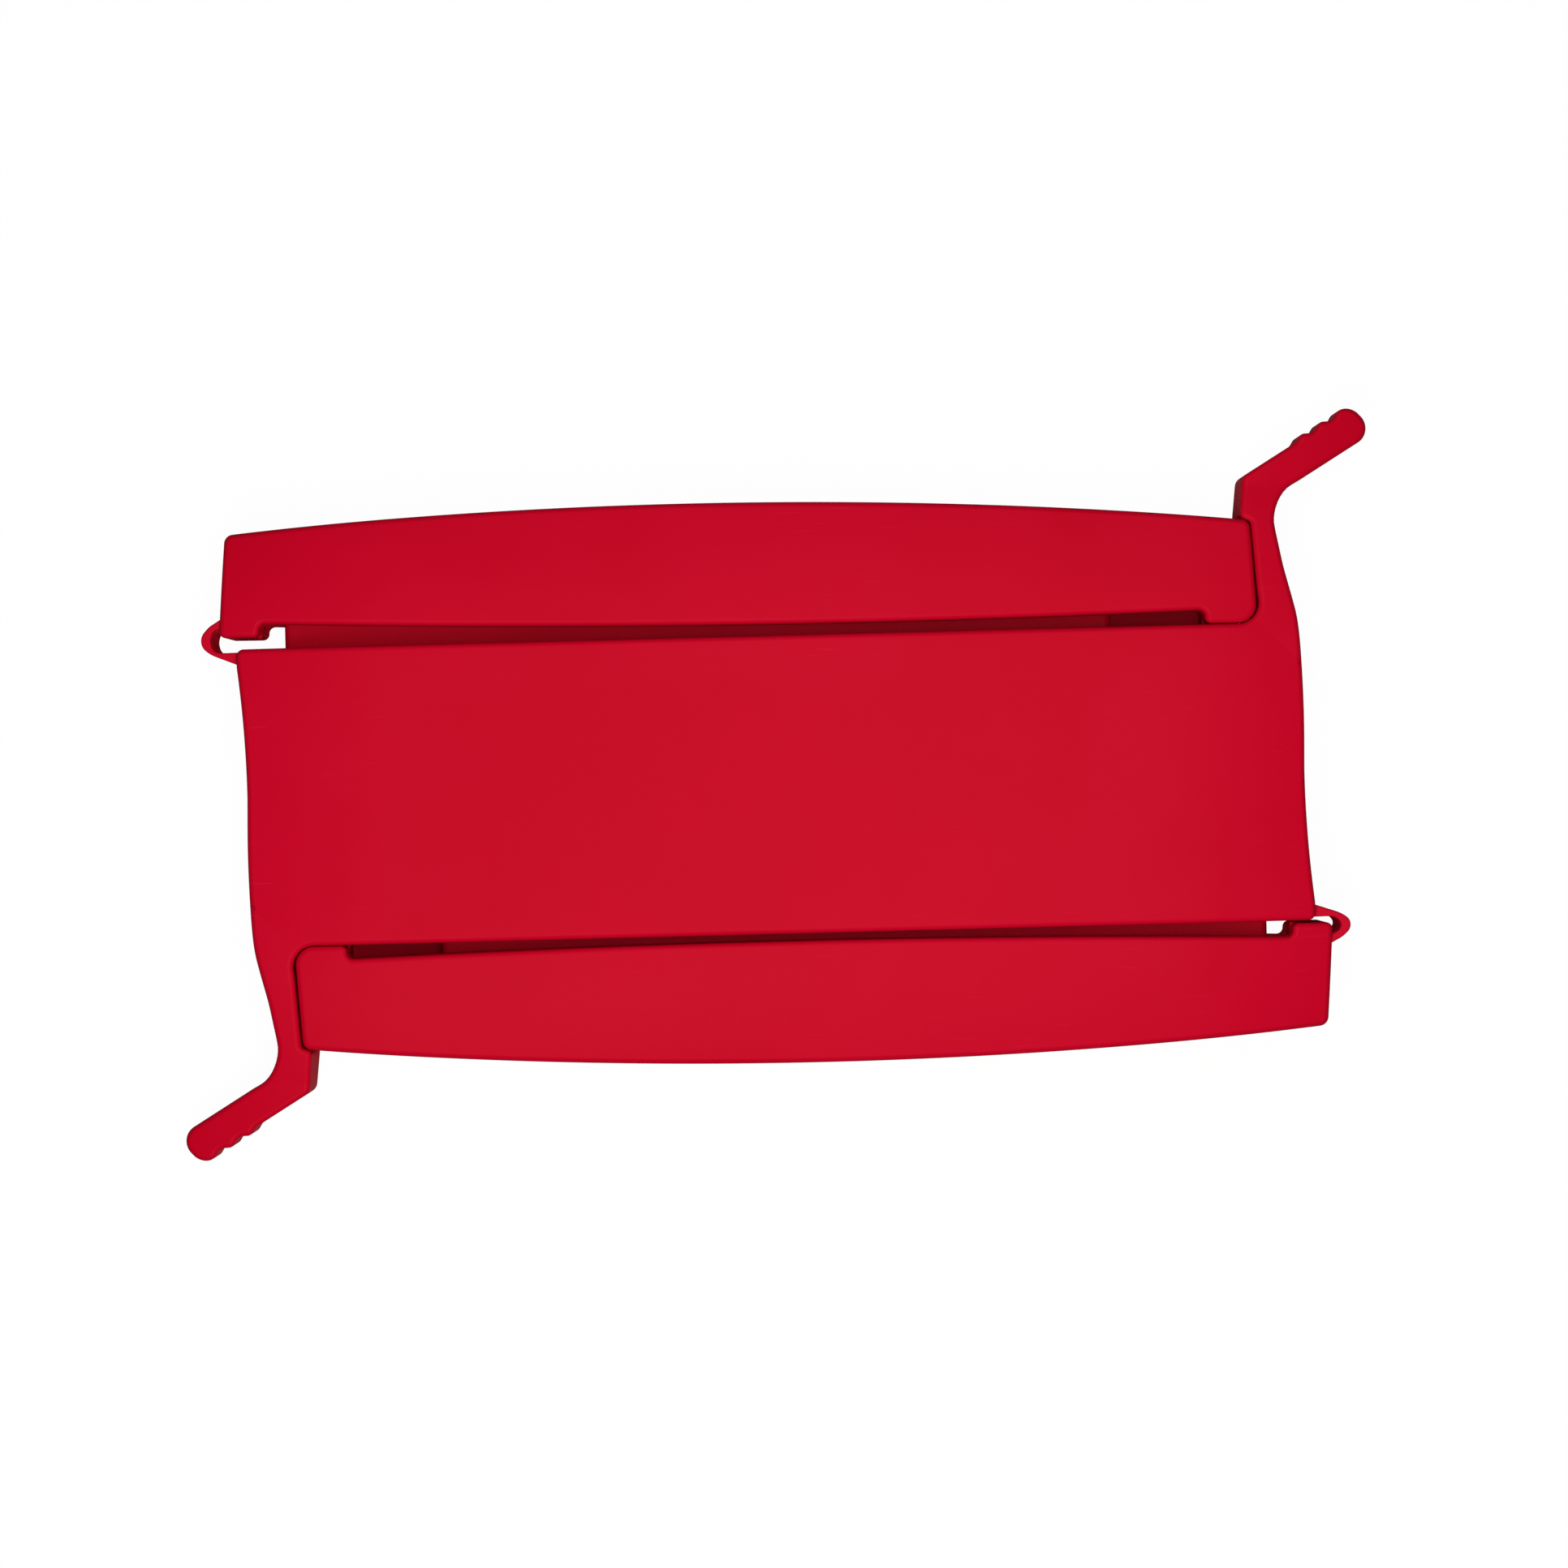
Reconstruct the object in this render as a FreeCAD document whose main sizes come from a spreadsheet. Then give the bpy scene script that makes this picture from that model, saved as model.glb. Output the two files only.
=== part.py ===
"""Double bag clip: a body plate with a hinged clamping jaw along each long edge.

Millimetres. X runs along the jaws, Y from the lower jaw to the upper one, Z up from the
surface that the clip lies on. The origin is the clip's two-fold axis at the back faces.
The lower clamp is the upper clamp turned half a turn about that axis, so each piece of
a clamp is drawn once, as the upper one, with its hinge at -X and its latch at +X.
"""

import math
import os

import FreeCAD
import Part
import Sketcher
from FreeCAD import Placement, Rotation, Vector

# Driving dimensions: name, millimetres or degrees, what it measures
SIZES = (
    ("body_height", 36.7, "body plate, between its two clamping edges"),
    ("waist_draw", 0.95, "how far the body's end draws in from the hinge flat to mid height"),
    ("latch_foot", 5.07, "jaw's latch end to the outer side of the latch, at the clamping edge"),
    ("hinge_step", 2.12, "jaw's hinge end back to the flat on the body that carries the strap"),
    ("hinge_foot_height", 2.2, "height of that flat"),
    ("end_sweep_radius", 140.0, "hollow sweep of the body's end towards the hinge"),
    ("depth", 14.0, "back face to the crest of the front face"),
    ("crest_length", 96.0, "part of the front face that is level along X"),
    ("crest_height", 32.0, "part of the front face that is level along Y"),
    ("end_crown_radius", 110.0, "front face, falling away to the ends"),
    ("edge_crown_radius", 75.0, "front face, falling away over the jaws"),
    ("crown_span", 71.0, "height over which the front face falls away"),
    ("skin", 2.4, "front skin over the cored back"),
    ("rim", 2.2, "wall round a cored pocket"),
    ("rib", 1.6, "rib between two cored pockets"),
    ("spine", 3.0, "rib along the middle of the body plate"),
    ("body_pockets", 10, "pockets along the body plate, in two rows"),
    ("jaw_pockets", 10, "pockets along a jaw"),
    ("tongue_short", 18.58, "jaw's latch end back to the far end of the tongue"),
    ("tongue_start", 6.1, "body's hinge flat to the near end of the tongue"),
    ("tongue_height", 4.2, "tongue, above the clamping edge"),
    ("tongue_thickness", 3.0, "tongue, front to back"),
    ("tongue_middle", 6.6, "back face to the middle of the tongue"),
    ("tongue_round", 0.9, "rounding of the tongue's crest"),
    ("film_room", 0.7, "clearance of the tongue in its groove, each side"),
    ("groove_headroom", 0.9, "groove, past the crest of the tongue"),
    ("jaw_length", 128.0, "jaw, along its clamping edge"),
    ("jaw_shift", 4.22, "two-fold axis to the middle of the jaw, towards its hinge"),
    ("jaw_height", 15.6, "jaw, clamping pads to the crest of its back"),
    ("jaw_back_radius", 650.0, "bow of the jaw's back"),
    ("jaw_end_lean", 0.7, "how far each end of the jaw leans in"),
    ("jaw_back_round", 1.2, "corner between an end and the back"),
    ("jaw_seat_round", 2.5, "corner between the latch end and the pad"),
    ("seat_gap", 0.3, "clamping edge to the jaw's pads when shut"),
    ("pad_at_hinge", 5.4, "jaw pad beside the hinge"),
    ("pad_at_latch", 6.5, "jaw pad beside the latch, front lip"),
    ("back_pad_at_latch", 18.4, "jaw pad beside the latch, back lip"),
    ("relief_depth", 1.5, "relief of the lips between the pads"),
    ("lip_bow_radius", 1720.0, "bow of the lips towards the tongue"),
    ("upper_jaw_set", 0.62, "degrees that the upper jaw stands off at its hinge"),
    ("lower_jaw_set", 0.22, "degrees that the lower jaw stands off at its hinge"),
    ("strap_thickness", 1.2, "hinge strap"),
    ("strap_width", 9.0, "hinge strap, front to back"),
    ("strap_reach", 1.72, "hinge flat to the middle of the strap's bend"),
    ("strap_foot", 0.35, "clamping edge to the top of the strap's leg"),
    ("strap_lift", 0.95, "jaw pad to the underside of the strap on the jaw"),
    ("latch_gap", 0.45, "jaw end to the latch"),
    ("root_height", 4.6, "bending root of the latch"),
    ("root_round", 2.8, "hollow corner between the latch and the clamping edge"),
    ("arm_foot", 3.8, "latch arm at its foot"),
    ("arm_neck", 2.9, "latch arm under the hook"),
    ("hook_height", 13.2, "clamping edge to the tip of the hook"),
    ("hook_reach", 1.5, "hook, in over the jaw's corner"),
    ("hook_ramp", 0.6, "slope of the hook's step"),
    ("head_height", 5.05, "latch head, hook to the bend"),
    ("head_lean", 0.55, "how far the head leans out above the hook"),
    ("tab_angle", 31.2, "degrees, finger tab above the jaw"),
    ("tab_offset", 5.7, "bend to the foot of the tab, along the tab"),
    ("tab_thickness", 4.2, "finger tab"),
    ("tab_length", 9.0, "finger tab, foot to the middle of its round end"),
    ("bend_radius", 6.5, "hollow side of the bend under the tab"),
    ("latch_back", 1.2, "back face to the back of the latch"),
    ("ridges", 3, "grip ridges on a tab"),
    ("ridge_radius", 0.8, "grip ridge"),
    ("ridge_sunk", 0.2, "middle of a grip ridge, under the face of the tab"),
    ("ridge_pitch", 2.8, "from one grip ridge to the next"),
)

HALF_TURN = 180.0
Z_AXIS = Vector(0, 0, 1)
YZ_PLANE = Rotation(Vector(1, 1, 1), 120)


class Size:
    """A number taken from the sheet, with the formula that ties a feature to it."""

    def __init__(self, value, formula):
        self.value = float(value)
        self.formula = formula

    @staticmethod
    def of(number):
        return number if isinstance(number, Size) else Size(number, repr(float(number)))

    def _with(self, other, sign, value):
        return Size(value, f"({self.formula} {sign} {Size.of(other).formula})")

    def __add__(self, other):
        return self._with(other, "+", self.value + Size.of(other).value)

    def __sub__(self, other):
        return self._with(other, "-", self.value - Size.of(other).value)

    def __mul__(self, other):
        return self._with(other, "*", self.value * Size.of(other).value)

    def __truediv__(self, other):
        return self._with(other, "/", self.value / Size.of(other).value)

    def __rsub__(self, other):
        return Size.of(other) - self

    def __neg__(self):
        return Size.of(0) - self

    def root(self):
        return Size(math.sqrt(self.value), f"sqrt({self.formula})")

    def turned(self, function):
        """Sine, cosine or tangent of an angle in degrees."""
        value = getattr(math, function)(math.radians(self.value))
        return Size(value, f"{function}({self.formula} * 1 deg)")


def write_sheet(doc):
    """Puts the driving dimensions in a spreadsheet and returns them by name."""
    sheet = doc.addObject("Spreadsheet::Sheet", "Sizes")
    for row, (alias, value, note) in enumerate(SIZES, 1):
        sheet.set(f"A{row}", note)
        sheet.set(f"B{row}", str(value))
        sheet.setAlias(f"B{row}", alias)
    doc.recompute()
    return {alias: Size(sheet.get(alias), f"Sizes.{alias}") for alias, _, _ in SIZES}


doc = FreeCAD.newDocument("bag_clip")
S = write_sheet(doc)


def bind(feature, **sizes):
    """Ties properties of a feature to the sheet."""
    for name, size in sizes.items():
        feature.setExpression(name, Size.of(size).formula)


def arc_between(start, end, radius, side):
    """The arc from start to end whose centre is on the left (side 1) or the right (side -1)."""
    chord = end - start
    left = Vector(-chord.y, chord.x, 0).normalize()
    rise = math.sqrt(radius**2 - (chord.Length / 2) ** 2)
    centre = (start + end) * 0.5 + left * (side * rise)
    middle = centre - left * (side * radius)
    return Part.Arc(start, middle, end)


def outline(name, corners, arcs=None, plane=None):
    """A closed sketch through corners, tied to the sheet. arcs maps an edge to (radius, side)."""
    drawing = doc.addObject("Sketcher::SketchObject", name)
    drawing.Placement = plane or Placement()
    points = [Vector(Size.of(x).value, Size.of(y).value, 0) for x, y in corners]
    first_end = {}
    for i, start in enumerate(points):
        end = points[(i + 1) % len(points)]
        radius, side = (arcs or {}).get(i, (None, None))
        curve = arc_between(start, end, radius.value, side) if radius else Part.LineSegment(start, end)
        edge = drawing.addGeometry(curve)
        first_end[edge] = 1 if drawing.getPoint(edge, 1).isEqual(start, 1e-6) else 2
        if radius:
            number = drawing.addConstraint(Sketcher.Constraint("Radius", edge, radius.value))
            drawing.setExpression(f"Constraints[{number}]", radius.formula)
    for i, (x, y) in enumerate(corners):
        before = (i - 1) % len(points)
        last_end = 3 - first_end[before]
        drawing.addConstraint(Sketcher.Constraint("Coincident", before, last_end, i, first_end[i]))
        for kind, size in (("DistanceX", Size.of(x)), ("DistanceY", Size.of(y))):
            number = drawing.addConstraint(Sketcher.Constraint(kind, i, first_end[i], size.value))
            drawing.setExpression(f"Constraints[{number}]", size.formula)
    return drawing


def extruded(name, drawing, height, start=0.0):
    """A drawing pushed out along its own normal, from start to start + height."""
    solid = doc.addObject("Part::Extrusion", name)
    solid.Base = drawing
    solid.DirMode = "Normal"
    solid.Solid = True
    bind(solid, LengthFwd=Size.of(start) + height, LengthRev=-Size.of(start))
    return solid


def block(name, low, size):
    """A box with its lowest corner at low."""
    box = doc.addObject("Part::Box", name)
    bind(box, Length=size[0], Width=size[1], Height=size[2])
    for axis, place in zip("xyz", low):
        box.setExpression(f"Placement.Base.{axis}", Size.of(place).formula)
    return box


def joined(name, pieces):
    """Several solids as one."""
    union = doc.addObject("Part::MultiFuse", name)
    union.Shapes = pieces
    union.Refine = True
    return union


def common(name, first, second):
    """What two solids share."""
    shared = doc.addObject("Part::Common", name)
    shared.Base = first
    shared.Tool = second
    return shared


def cut(name, base, tool):
    """A solid less another one."""
    rest = doc.addObject("Part::Cut", name)
    rest.Base = base
    rest.Tool = tool
    return rest


def rounded_uprights(name, base, corners):
    """Rounds the edges along Z that stand at the given corners, each with its own radius."""
    doc.recompute()
    edges = []
    for number, edge in enumerate(base.Shape.Edges, 1):
        ends = [vertex.Point for vertex in edge.Vertexes]
        for x, y, radius in corners:
            spot = Vector(x.value, y.value, 0)
            if len(ends) == 2 and all(math.hypot(p.x - spot.x, p.y - spot.y) < 1e-3 for p in ends):
                edges.append((number, radius.value, radius.value))
    fillet = doc.addObject("Part::Fillet", name)
    fillet.Base = base
    fillet.Edges = edges
    return fillet


edge_y = S["body_height"] / 2
jaw_latch_x = S["jaw_length"] / 2 - S["jaw_shift"]
jaw_hinge_x = jaw_latch_x - S["jaw_length"]
latch_foot_x = jaw_latch_x + S["latch_foot"]
hinge_foot_x = -jaw_hinge_x - S["hinge_step"]
waist_x = hinge_foot_x - S["waist_draw"]
seat_y = edge_y + S["seat_gap"]
below = Size.of(2.0)


def crown(name, drop):
    """The space under the front face: level in the middle and falling away to ends and edges."""
    top = S["depth"] - drop
    shoulder = S["crest_height"] / 2
    skirt = S["crown_span"] / 2
    fall = S["edge_crown_radius"] - (
        S["edge_crown_radius"] * S["edge_crown_radius"] - (skirt - shoulder) * (skirt - shoulder)
    ).root()
    side = S["body_height"] * 1.5
    corners = [
        (-side, -below),
        (side, -below),
        (side, top - fall),
        (skirt, top - fall),
        (shoulder, top),
        (-shoulder, top),
        (-skirt, top - fall),
        (-side, top - fall),
    ]
    arcs = {3: (S["edge_crown_radius"], 1), 5: (S["edge_crown_radius"], 1)}
    half = S["crest_length"] / 2
    parts = []
    for label, end, sign in (("right", half, 1), ("left", -half, -1)):
        plane = Placement(Vector(end.value, 0, 0), YZ_PLANE)
        section = outline(f"{name}_{label}_section", corners, arcs, plane)
        section.setExpression("Placement.Base.x", end.formula)
        if sign > 0:
            parts.append(extruded(f"{name}_middle", section, S["crest_length"], -S["crest_length"]))
        swung = doc.addObject("Part::Revolution", f"{name}_{label}_end")
        swung.Source = section
        swung.Axis = Vector(0, sign, 0)
        swung.Solid = True
        swung.Angle = 20.0
        swung.setExpression("Base.x", end.formula)
        swung.setExpression("Base.z", (top - S["end_crown_radius"]).formula)
        parts.append(swung)
    return joined(name, parts)


FRONT = crown("front_face", Size.of(0))
CORE_FRONT = crown("core_face", S["skin"])


def pocket_row(name, low, size, count, front):
    """A row of equal pockets along X, open at the back and closed by a skin under the front face."""
    pitch = (size[0] + S["rib"]) / count
    number = round(count.value)
    height = S["depth"] + below
    boxes = [
        block(f"{name}_{i + 1}", (low[0] + pitch * i, low[1], -below), (pitch - S["rib"], size[1], height))
        for i in range(number)
    ]
    return common(f"{name}_cores", joined(f"{name}_row", boxes), front)


def make_body_plate():
    """The plate between the two clamping edges, cored from the back in two rows of pockets."""
    foot_y = edge_y - S["hinge_foot_height"]
    corners = [
        (latch_foot_x, edge_y),
        (-hinge_foot_x, edge_y),
        (-hinge_foot_x, foot_y),
        (-waist_x, Size.of(0.5)),
        (-latch_foot_x, -edge_y),
        (hinge_foot_x, -edge_y),
        (hinge_foot_x, -foot_y),
        (waist_x, Size.of(-0.5)),
    ]
    arcs = {2: (S["end_sweep_radius"], -1), 6: (S["end_sweep_radius"], -1)}
    drawing = outline("body_outline", corners, arcs)
    plate = common("body_blank", extruded("body_slab", drawing, S["depth"]), FRONT)
    width = (latch_foot_x - S["rim"]) * 2
    height = edge_y - S["rim"] - S["spine"] / 2
    for row, low_y in (("upper", S["spine"] / 2), ("lower", S["rim"] - edge_y)):
        low = (S["rim"] - latch_foot_x, low_y)
        cores = pocket_row(f"body_{row}", low, (width, height), S["body_pockets"], CORE_FRONT)
        plate = cut(f"body_cored_{row}", plate, cores)
    return plate


def make_tongue():
    """The rib on the clamping edge that presses the bag film into the jaw's groove."""
    body = doc.addObject("PartDesign::Body", "tongue_body")
    plane = next(f for f in body.Origin.OriginFeatures if f.Role == "XY_Plane")
    section = body.newObject("Sketcher::SketchObject", "tongue_section")
    section.AttachmentSupport = [(plane, "")]
    section.MapMode = "FlatFace"
    start = S["tongue_start"] - hinge_foot_x
    ends = [(start, edge_y), (jaw_latch_x - S["tongue_short"], edge_y + S["tongue_height"])]
    (x0, y0), (x1, y1) = ends
    loop = [(x0, y0), (x1, y0), (x1, y1), (x0, y1)]
    spots = [Vector(x.value, y.value, 0) for x, y in loop]
    for i, spot in enumerate(spots):
        section.addGeometry(Part.LineSegment(spot, spots[(i + 1) % 4]))
    for i, corner in enumerate(loop):
        section.addConstraint(Sketcher.Constraint("Coincident", (i - 1) % 4, 2, i, 1))
        for kind, size in zip(("DistanceX", "DistanceY"), corner):
            number = section.addConstraint(Sketcher.Constraint(kind, i, 1, size.value))
            section.setExpression(f"Constraints[{number}]", size.formula)
    section.setExpression("AttachmentOffset.Base.z", (S["tongue_middle"] - S["tongue_thickness"] / 2).formula)
    pad = body.newObject("PartDesign::Pad", "tongue_pad")
    pad.Profile = section
    bind(pad, Length=S["tongue_thickness"])
    doc.recompute()
    crest = [
        f"Edge{i}"
        for i, e in enumerate(pad.Shape.Edges, 1)
        if all(abs(v.Point.y - y1.value) < 1e-6 for v in e.Vertexes)
    ]
    fillet = body.newObject("PartDesign::Fillet", "tongue_crest")
    fillet.Base = (pad, crest)
    bind(fillet, Radius=S["tongue_round"])
    doc.recompute()
    return body


def jaw_frame():
    """Named places on the shut jaw: its hinge end, its latch end and the height of its back corners."""
    half_back = S["jaw_length"] / 2 - S["jaw_end_lean"]
    sag = S["jaw_back_radius"] - (S["jaw_back_radius"] * S["jaw_back_radius"] - half_back * half_back).root()
    return jaw_hinge_x, jaw_latch_x, seat_y + S["jaw_height"] - sag


def relief(name, near_hinge, near_latch, start, height):
    """The space that a lip leaves above the clamping edge, bowed towards the tongue."""
    hinge_x, latch_x, _ = jaw_frame()
    left = hinge_x + near_hinge
    right = latch_x - near_latch
    top = seat_y + S["relief_depth"]
    low = seat_y - below
    drawing = outline(
        f"{name}_outline",
        [(left, low), (right, low), (right, top), (left, top)],
        {2: (S["lip_bow_radius"], -1)},
    )
    return extruded(name, drawing, height, start)


def make_jaw():
    """The clamping bar: bowed back, lips relieved for the film and a groove over the tongue."""
    hinge_x, latch_x, corner_y = jaw_frame()
    lean = S["jaw_end_lean"]
    corners = [
        (hinge_x, seat_y),
        (latch_x, seat_y),
        (latch_x - lean, corner_y),
        (hinge_x + lean, corner_y),
    ]
    drawing = outline("jaw_outline", corners, {2: (S["jaw_back_radius"], 1)})
    slab = extruded("jaw_slab", drawing, S["depth"])
    soft = rounded_uprights(
        "jaw_rounded",
        slab,
        [
            (*corners[1], S["jaw_seat_round"]),
            (*corners[2], S["jaw_back_round"]),
            (*corners[3], S["jaw_back_round"]),
        ],
    )
    blank = common("jaw_blank", soft, FRONT)
    half_groove = S["tongue_thickness"] / 2 + S["film_room"]
    groove_low = S["tongue_middle"] - half_groove
    groove_high = S["tongue_middle"] + half_groove
    groove_y = edge_y + S["tongue_height"] + S["groove_headroom"]
    pads = S["pad_at_hinge"] + S["pad_at_latch"]
    groove = block(
        "jaw_groove",
        (hinge_x + S["pad_at_hinge"], seat_y - below, groove_low),
        (S["jaw_length"] - pads, groove_y - seat_y + below, half_groove * 2),
    )
    front_lip = relief("front_relief", S["pad_at_hinge"], S["pad_at_latch"], groove_high, S["depth"])
    back_lip = relief("back_relief", S["pad_at_hinge"], S["back_pad_at_latch"], -below, groove_low + below)
    clamped = cut("jaw_grooved", blank, joined("jaw_clearances", [groove, front_lip, back_lip]))
    pocket_low = groove_y + S["rim"]
    pocket_size = (S["jaw_length"] - (lean + S["rim"]) * 2, corner_y - S["rim"] - pocket_low)
    pocket_corner = (hinge_x + lean + S["rim"], pocket_low)
    cores = pocket_row("jaw", pocket_corner, pocket_size, S["jaw_pockets"], CORE_FRONT)
    return cut("jaw_cored", clamped, cores)


def make_strap(jaw_set):
    """The springy strap that hinges a jaw: a leg on the body's end, a bend and a foot on the jaw's end."""
    hinge_x, latch_x, corner_y = jaw_frame()
    sine = jaw_set.turned("sin")
    cosine = jaw_set.turned("cos")
    lean = S["jaw_end_lean"]
    rise = corner_y - seat_y
    end_x = latch_x - S["jaw_length"] * cosine
    end_y = seat_y + S["jaw_length"] * sine
    slope = (lean * cosine + rise * sine) / (rise * cosine - lean * sine)
    foot_top = edge_y - S["strap_foot"]
    inner = (end_y + S["strap_lift"] - foot_top) / 2
    outer = inner + S["strap_thickness"]
    bend_x = -hinge_foot_x - S["strap_reach"]
    bend_y = foot_top + inner

    def on_jaw(radius):
        """Where the strap's face of that radius meets the leaning end of the jaw."""
        away = end_x + slope * (bend_y + radius - end_y) - bend_x
        y = bend_y + (radius * radius - away * away).root()
        return end_x + slope * (y - end_y), y

    corners = [
        (-hinge_foot_x, foot_top),
        (bend_x, foot_top),
        (bend_x - inner, bend_y),
        on_jaw(inner),
        on_jaw(outer),
        (bend_x - outer, bend_y),
        (bend_x, bend_y - outer),
        (-hinge_foot_x, bend_y - outer),
    ]
    arcs = {1: (inner, -1), 2: (inner, -1), 4: (outer, 1), 5: (outer, 1)}
    drawing = outline("strap_outline", corners, arcs)
    start = S["tongue_middle"] - S["strap_width"] / 2
    return extruded("strap", drawing, S["strap_width"], start)


def latch_inner(height):
    """Where the latch's inner side stands, at a height above the clamping edge, along the jaw's end."""
    _, latch_x, corner_y = jaw_frame()
    return latch_x + S["latch_gap"] - S["jaw_end_lean"] * (height - S["seat_gap"]) / (corner_y - seat_y)


def latch_solid(name, drawing):
    """A latch outline given the latch's back and the front face that it shares with the body."""
    slab = extruded(f"{name}_slab", drawing, S["depth"], S["latch_back"])
    return common(name, slab, FRONT)


def make_latch_root():
    """The part of the latch that bends, rising from the clamping edge round the jaw's corner."""
    root_x = jaw_latch_x + S["latch_gap"]
    top_y = edge_y + S["root_height"]
    top_x = latch_inner(S["root_height"])
    corners = [
        (root_x - S["root_round"], edge_y),
        (root_x, edge_y + S["root_round"]),
        (top_x, top_y),
        (top_x + S["arm_foot"], top_y),
        (latch_foot_x, edge_y),
    ]
    return latch_solid("latch_root", outline("root_outline", corners, {0: (S["root_round"], 1)}))


def tab_foot():
    """The two corners where the finger tab leaves the latch arm: on the jaw's side and under it."""
    sine = S["tab_angle"].turned("sin")
    cosine = S["tab_angle"].turned("cos")
    tip_x = latch_inner(S["hook_height"] - S["hook_ramp"]) - S["hook_reach"]
    bend_x = tip_x + S["head_lean"]
    bend_y = edge_y + S["hook_height"] + S["head_height"]
    near = (bend_x + S["tab_offset"] * cosine, bend_y + S["tab_offset"] * sine)
    under = (near[0] + S["tab_thickness"] * sine, near[1] - S["tab_thickness"] * cosine)
    return (tip_x, bend_x, bend_y), near, under


def make_latch_arm():
    """The latch's arm, its hook over the jaw's corner and the bend that carries the tab."""
    step = S["hook_height"] - S["hook_ramp"]
    (tip_x, bend_x, bend_y), near, under = tab_foot()
    foot_x = latch_inner(S["root_height"])
    foot_y = edge_y + S["root_height"]
    corners = [
        (foot_x, foot_y),
        (latch_inner(step), edge_y + step),
        (tip_x, edge_y + S["hook_height"]),
        (bend_x, bend_y),
        near,
        under,
        (latch_inner(step) + S["arm_neck"], edge_y + step),
        (foot_x + S["arm_foot"], foot_y),
    ]
    return latch_solid("latch_arm", outline("arm_outline", corners, {5: (S["bend_radius"], 1)}))


def make_finger_tab():
    """The tab that a finger pushes to free the jaw, with grip ridges on the jaw's side."""
    _, near, under = tab_foot()
    half = S["tab_thickness"] / 2
    drawing = outline(
        "tab_outline",
        [
            (Size.of(0), half),
            (Size.of(0), -half),
            (S["tab_length"], -half),
            (S["tab_length"] + half, Size.of(0)),
            (S["tab_length"], half),
        ],
        {2: (half, 1), 3: (half, 1)},
    )
    pieces = [extruded("tab_slab", drawing, S["depth"], S["latch_back"])]
    for i in range(round(S["ridges"].value)):
        ridge = doc.addObject("Part::Cylinder", "ridge")
        bind(ridge, Radius=S["ridge_radius"], Height=S["depth"])
        ridge.setExpression("Placement.Base.x", (S["tab_length"] - S["ridge_pitch"] * i).formula)
        ridge.setExpression("Placement.Base.y", (half - S["ridge_sunk"]).formula)
        ridge.setExpression("Placement.Base.z", S["latch_back"].formula)
        pieces.append(ridge)
    tab = joined("tab_blank", pieces)
    middle = Vector((near[0].value + under[0].value) / 2, (near[1].value + under[1].value) / 2, 0)
    tab.Placement = Placement(middle, Rotation(Z_AXIS, S["tab_angle"].value))
    return common("finger_tab", tab, FRONT)


def make_clamp(side, half_turn, jaw_set):
    """All the pieces along one clamping edge, by node name."""
    turn = Placement(Vector(), Rotation(Z_AXIS, half_turn))
    seat = Vector(jaw_latch_x.value, seat_y.value, 0)
    stand_off = Placement(Vector(), Rotation(Z_AXIS, -jaw_set.value), seat)
    pieces = {
        f"{side}_tongue": make_tongue(),
        f"{side}_jaw": make_jaw(),
        f"{side}_hinge_strap": make_strap(jaw_set),
        f"{side}_latch_root": make_latch_root(),
        f"{side}_latch_arm": make_latch_arm(),
        f"{side}_finger_tab": make_finger_tab(),
    }
    doc.recompute()
    for node, piece in pieces.items():
        piece.Placement = turn * stand_off if node.endswith("_jaw") else turn
    return pieces


def write_parts(nodes):
    """Checks every feature and writes one file for each node."""
    doc.recompute()
    faulty = [o.Name for o in doc.Objects if "Invalid" in o.State or "Error" in o.State]
    if faulty:
        raise RuntimeError(f"features that did not build: {faulty}")
    os.makedirs("parts", exist_ok=True)
    for node, piece in nodes.items():
        piece.Label = node
        shape = piece.Shape
        if not shape.isValid() or len(shape.Solids) != 1:
            raise RuntimeError(f"{node} is not one sound solid")
        shape.exportStep(f"parts/{node}.step")
        box = shape.BoundBox
        print(
            f"{node}: {shape.Volume / 1000:.2f} cm3, X {box.XMin:.2f} to {box.XMax:.2f}, "
            f"Y {box.YMin:.2f} to {box.YMax:.2f}, Z {box.ZMin:.2f} to {box.ZMax:.2f}"
        )


nodes = {"body_plate": make_body_plate()}
nodes.update(make_clamp("upper", 0.0, S["upper_jaw_set"]))
nodes.update(make_clamp("lower", HALF_TURN, S["lower_jaw_set"]))
write_parts(nodes)
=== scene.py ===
"""Dresses the double bag clip: moulded meshes, finishes, light and camera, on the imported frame."""

import logging
import math
from dataclasses import dataclass, field
from enum import Enum
from typing import Callable, Iterable, Sequence, Union

import bpy
import numpy as np
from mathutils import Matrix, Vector
from mathutils.geometry import delaunay_2d_cdt


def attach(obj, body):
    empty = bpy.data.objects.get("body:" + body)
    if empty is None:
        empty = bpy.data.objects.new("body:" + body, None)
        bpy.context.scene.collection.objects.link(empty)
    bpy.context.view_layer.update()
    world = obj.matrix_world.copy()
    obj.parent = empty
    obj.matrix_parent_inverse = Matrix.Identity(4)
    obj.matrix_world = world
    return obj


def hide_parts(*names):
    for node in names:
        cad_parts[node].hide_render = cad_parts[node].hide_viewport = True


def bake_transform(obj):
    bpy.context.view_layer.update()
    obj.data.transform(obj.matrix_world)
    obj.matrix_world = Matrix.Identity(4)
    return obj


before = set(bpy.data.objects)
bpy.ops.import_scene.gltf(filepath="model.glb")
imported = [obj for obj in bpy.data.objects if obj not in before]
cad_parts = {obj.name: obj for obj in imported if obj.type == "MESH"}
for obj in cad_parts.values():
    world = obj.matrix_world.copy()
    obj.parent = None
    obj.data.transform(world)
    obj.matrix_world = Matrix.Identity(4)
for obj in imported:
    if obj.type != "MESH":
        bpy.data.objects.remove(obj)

log = logging.getLogger("bag_clip")

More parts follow.
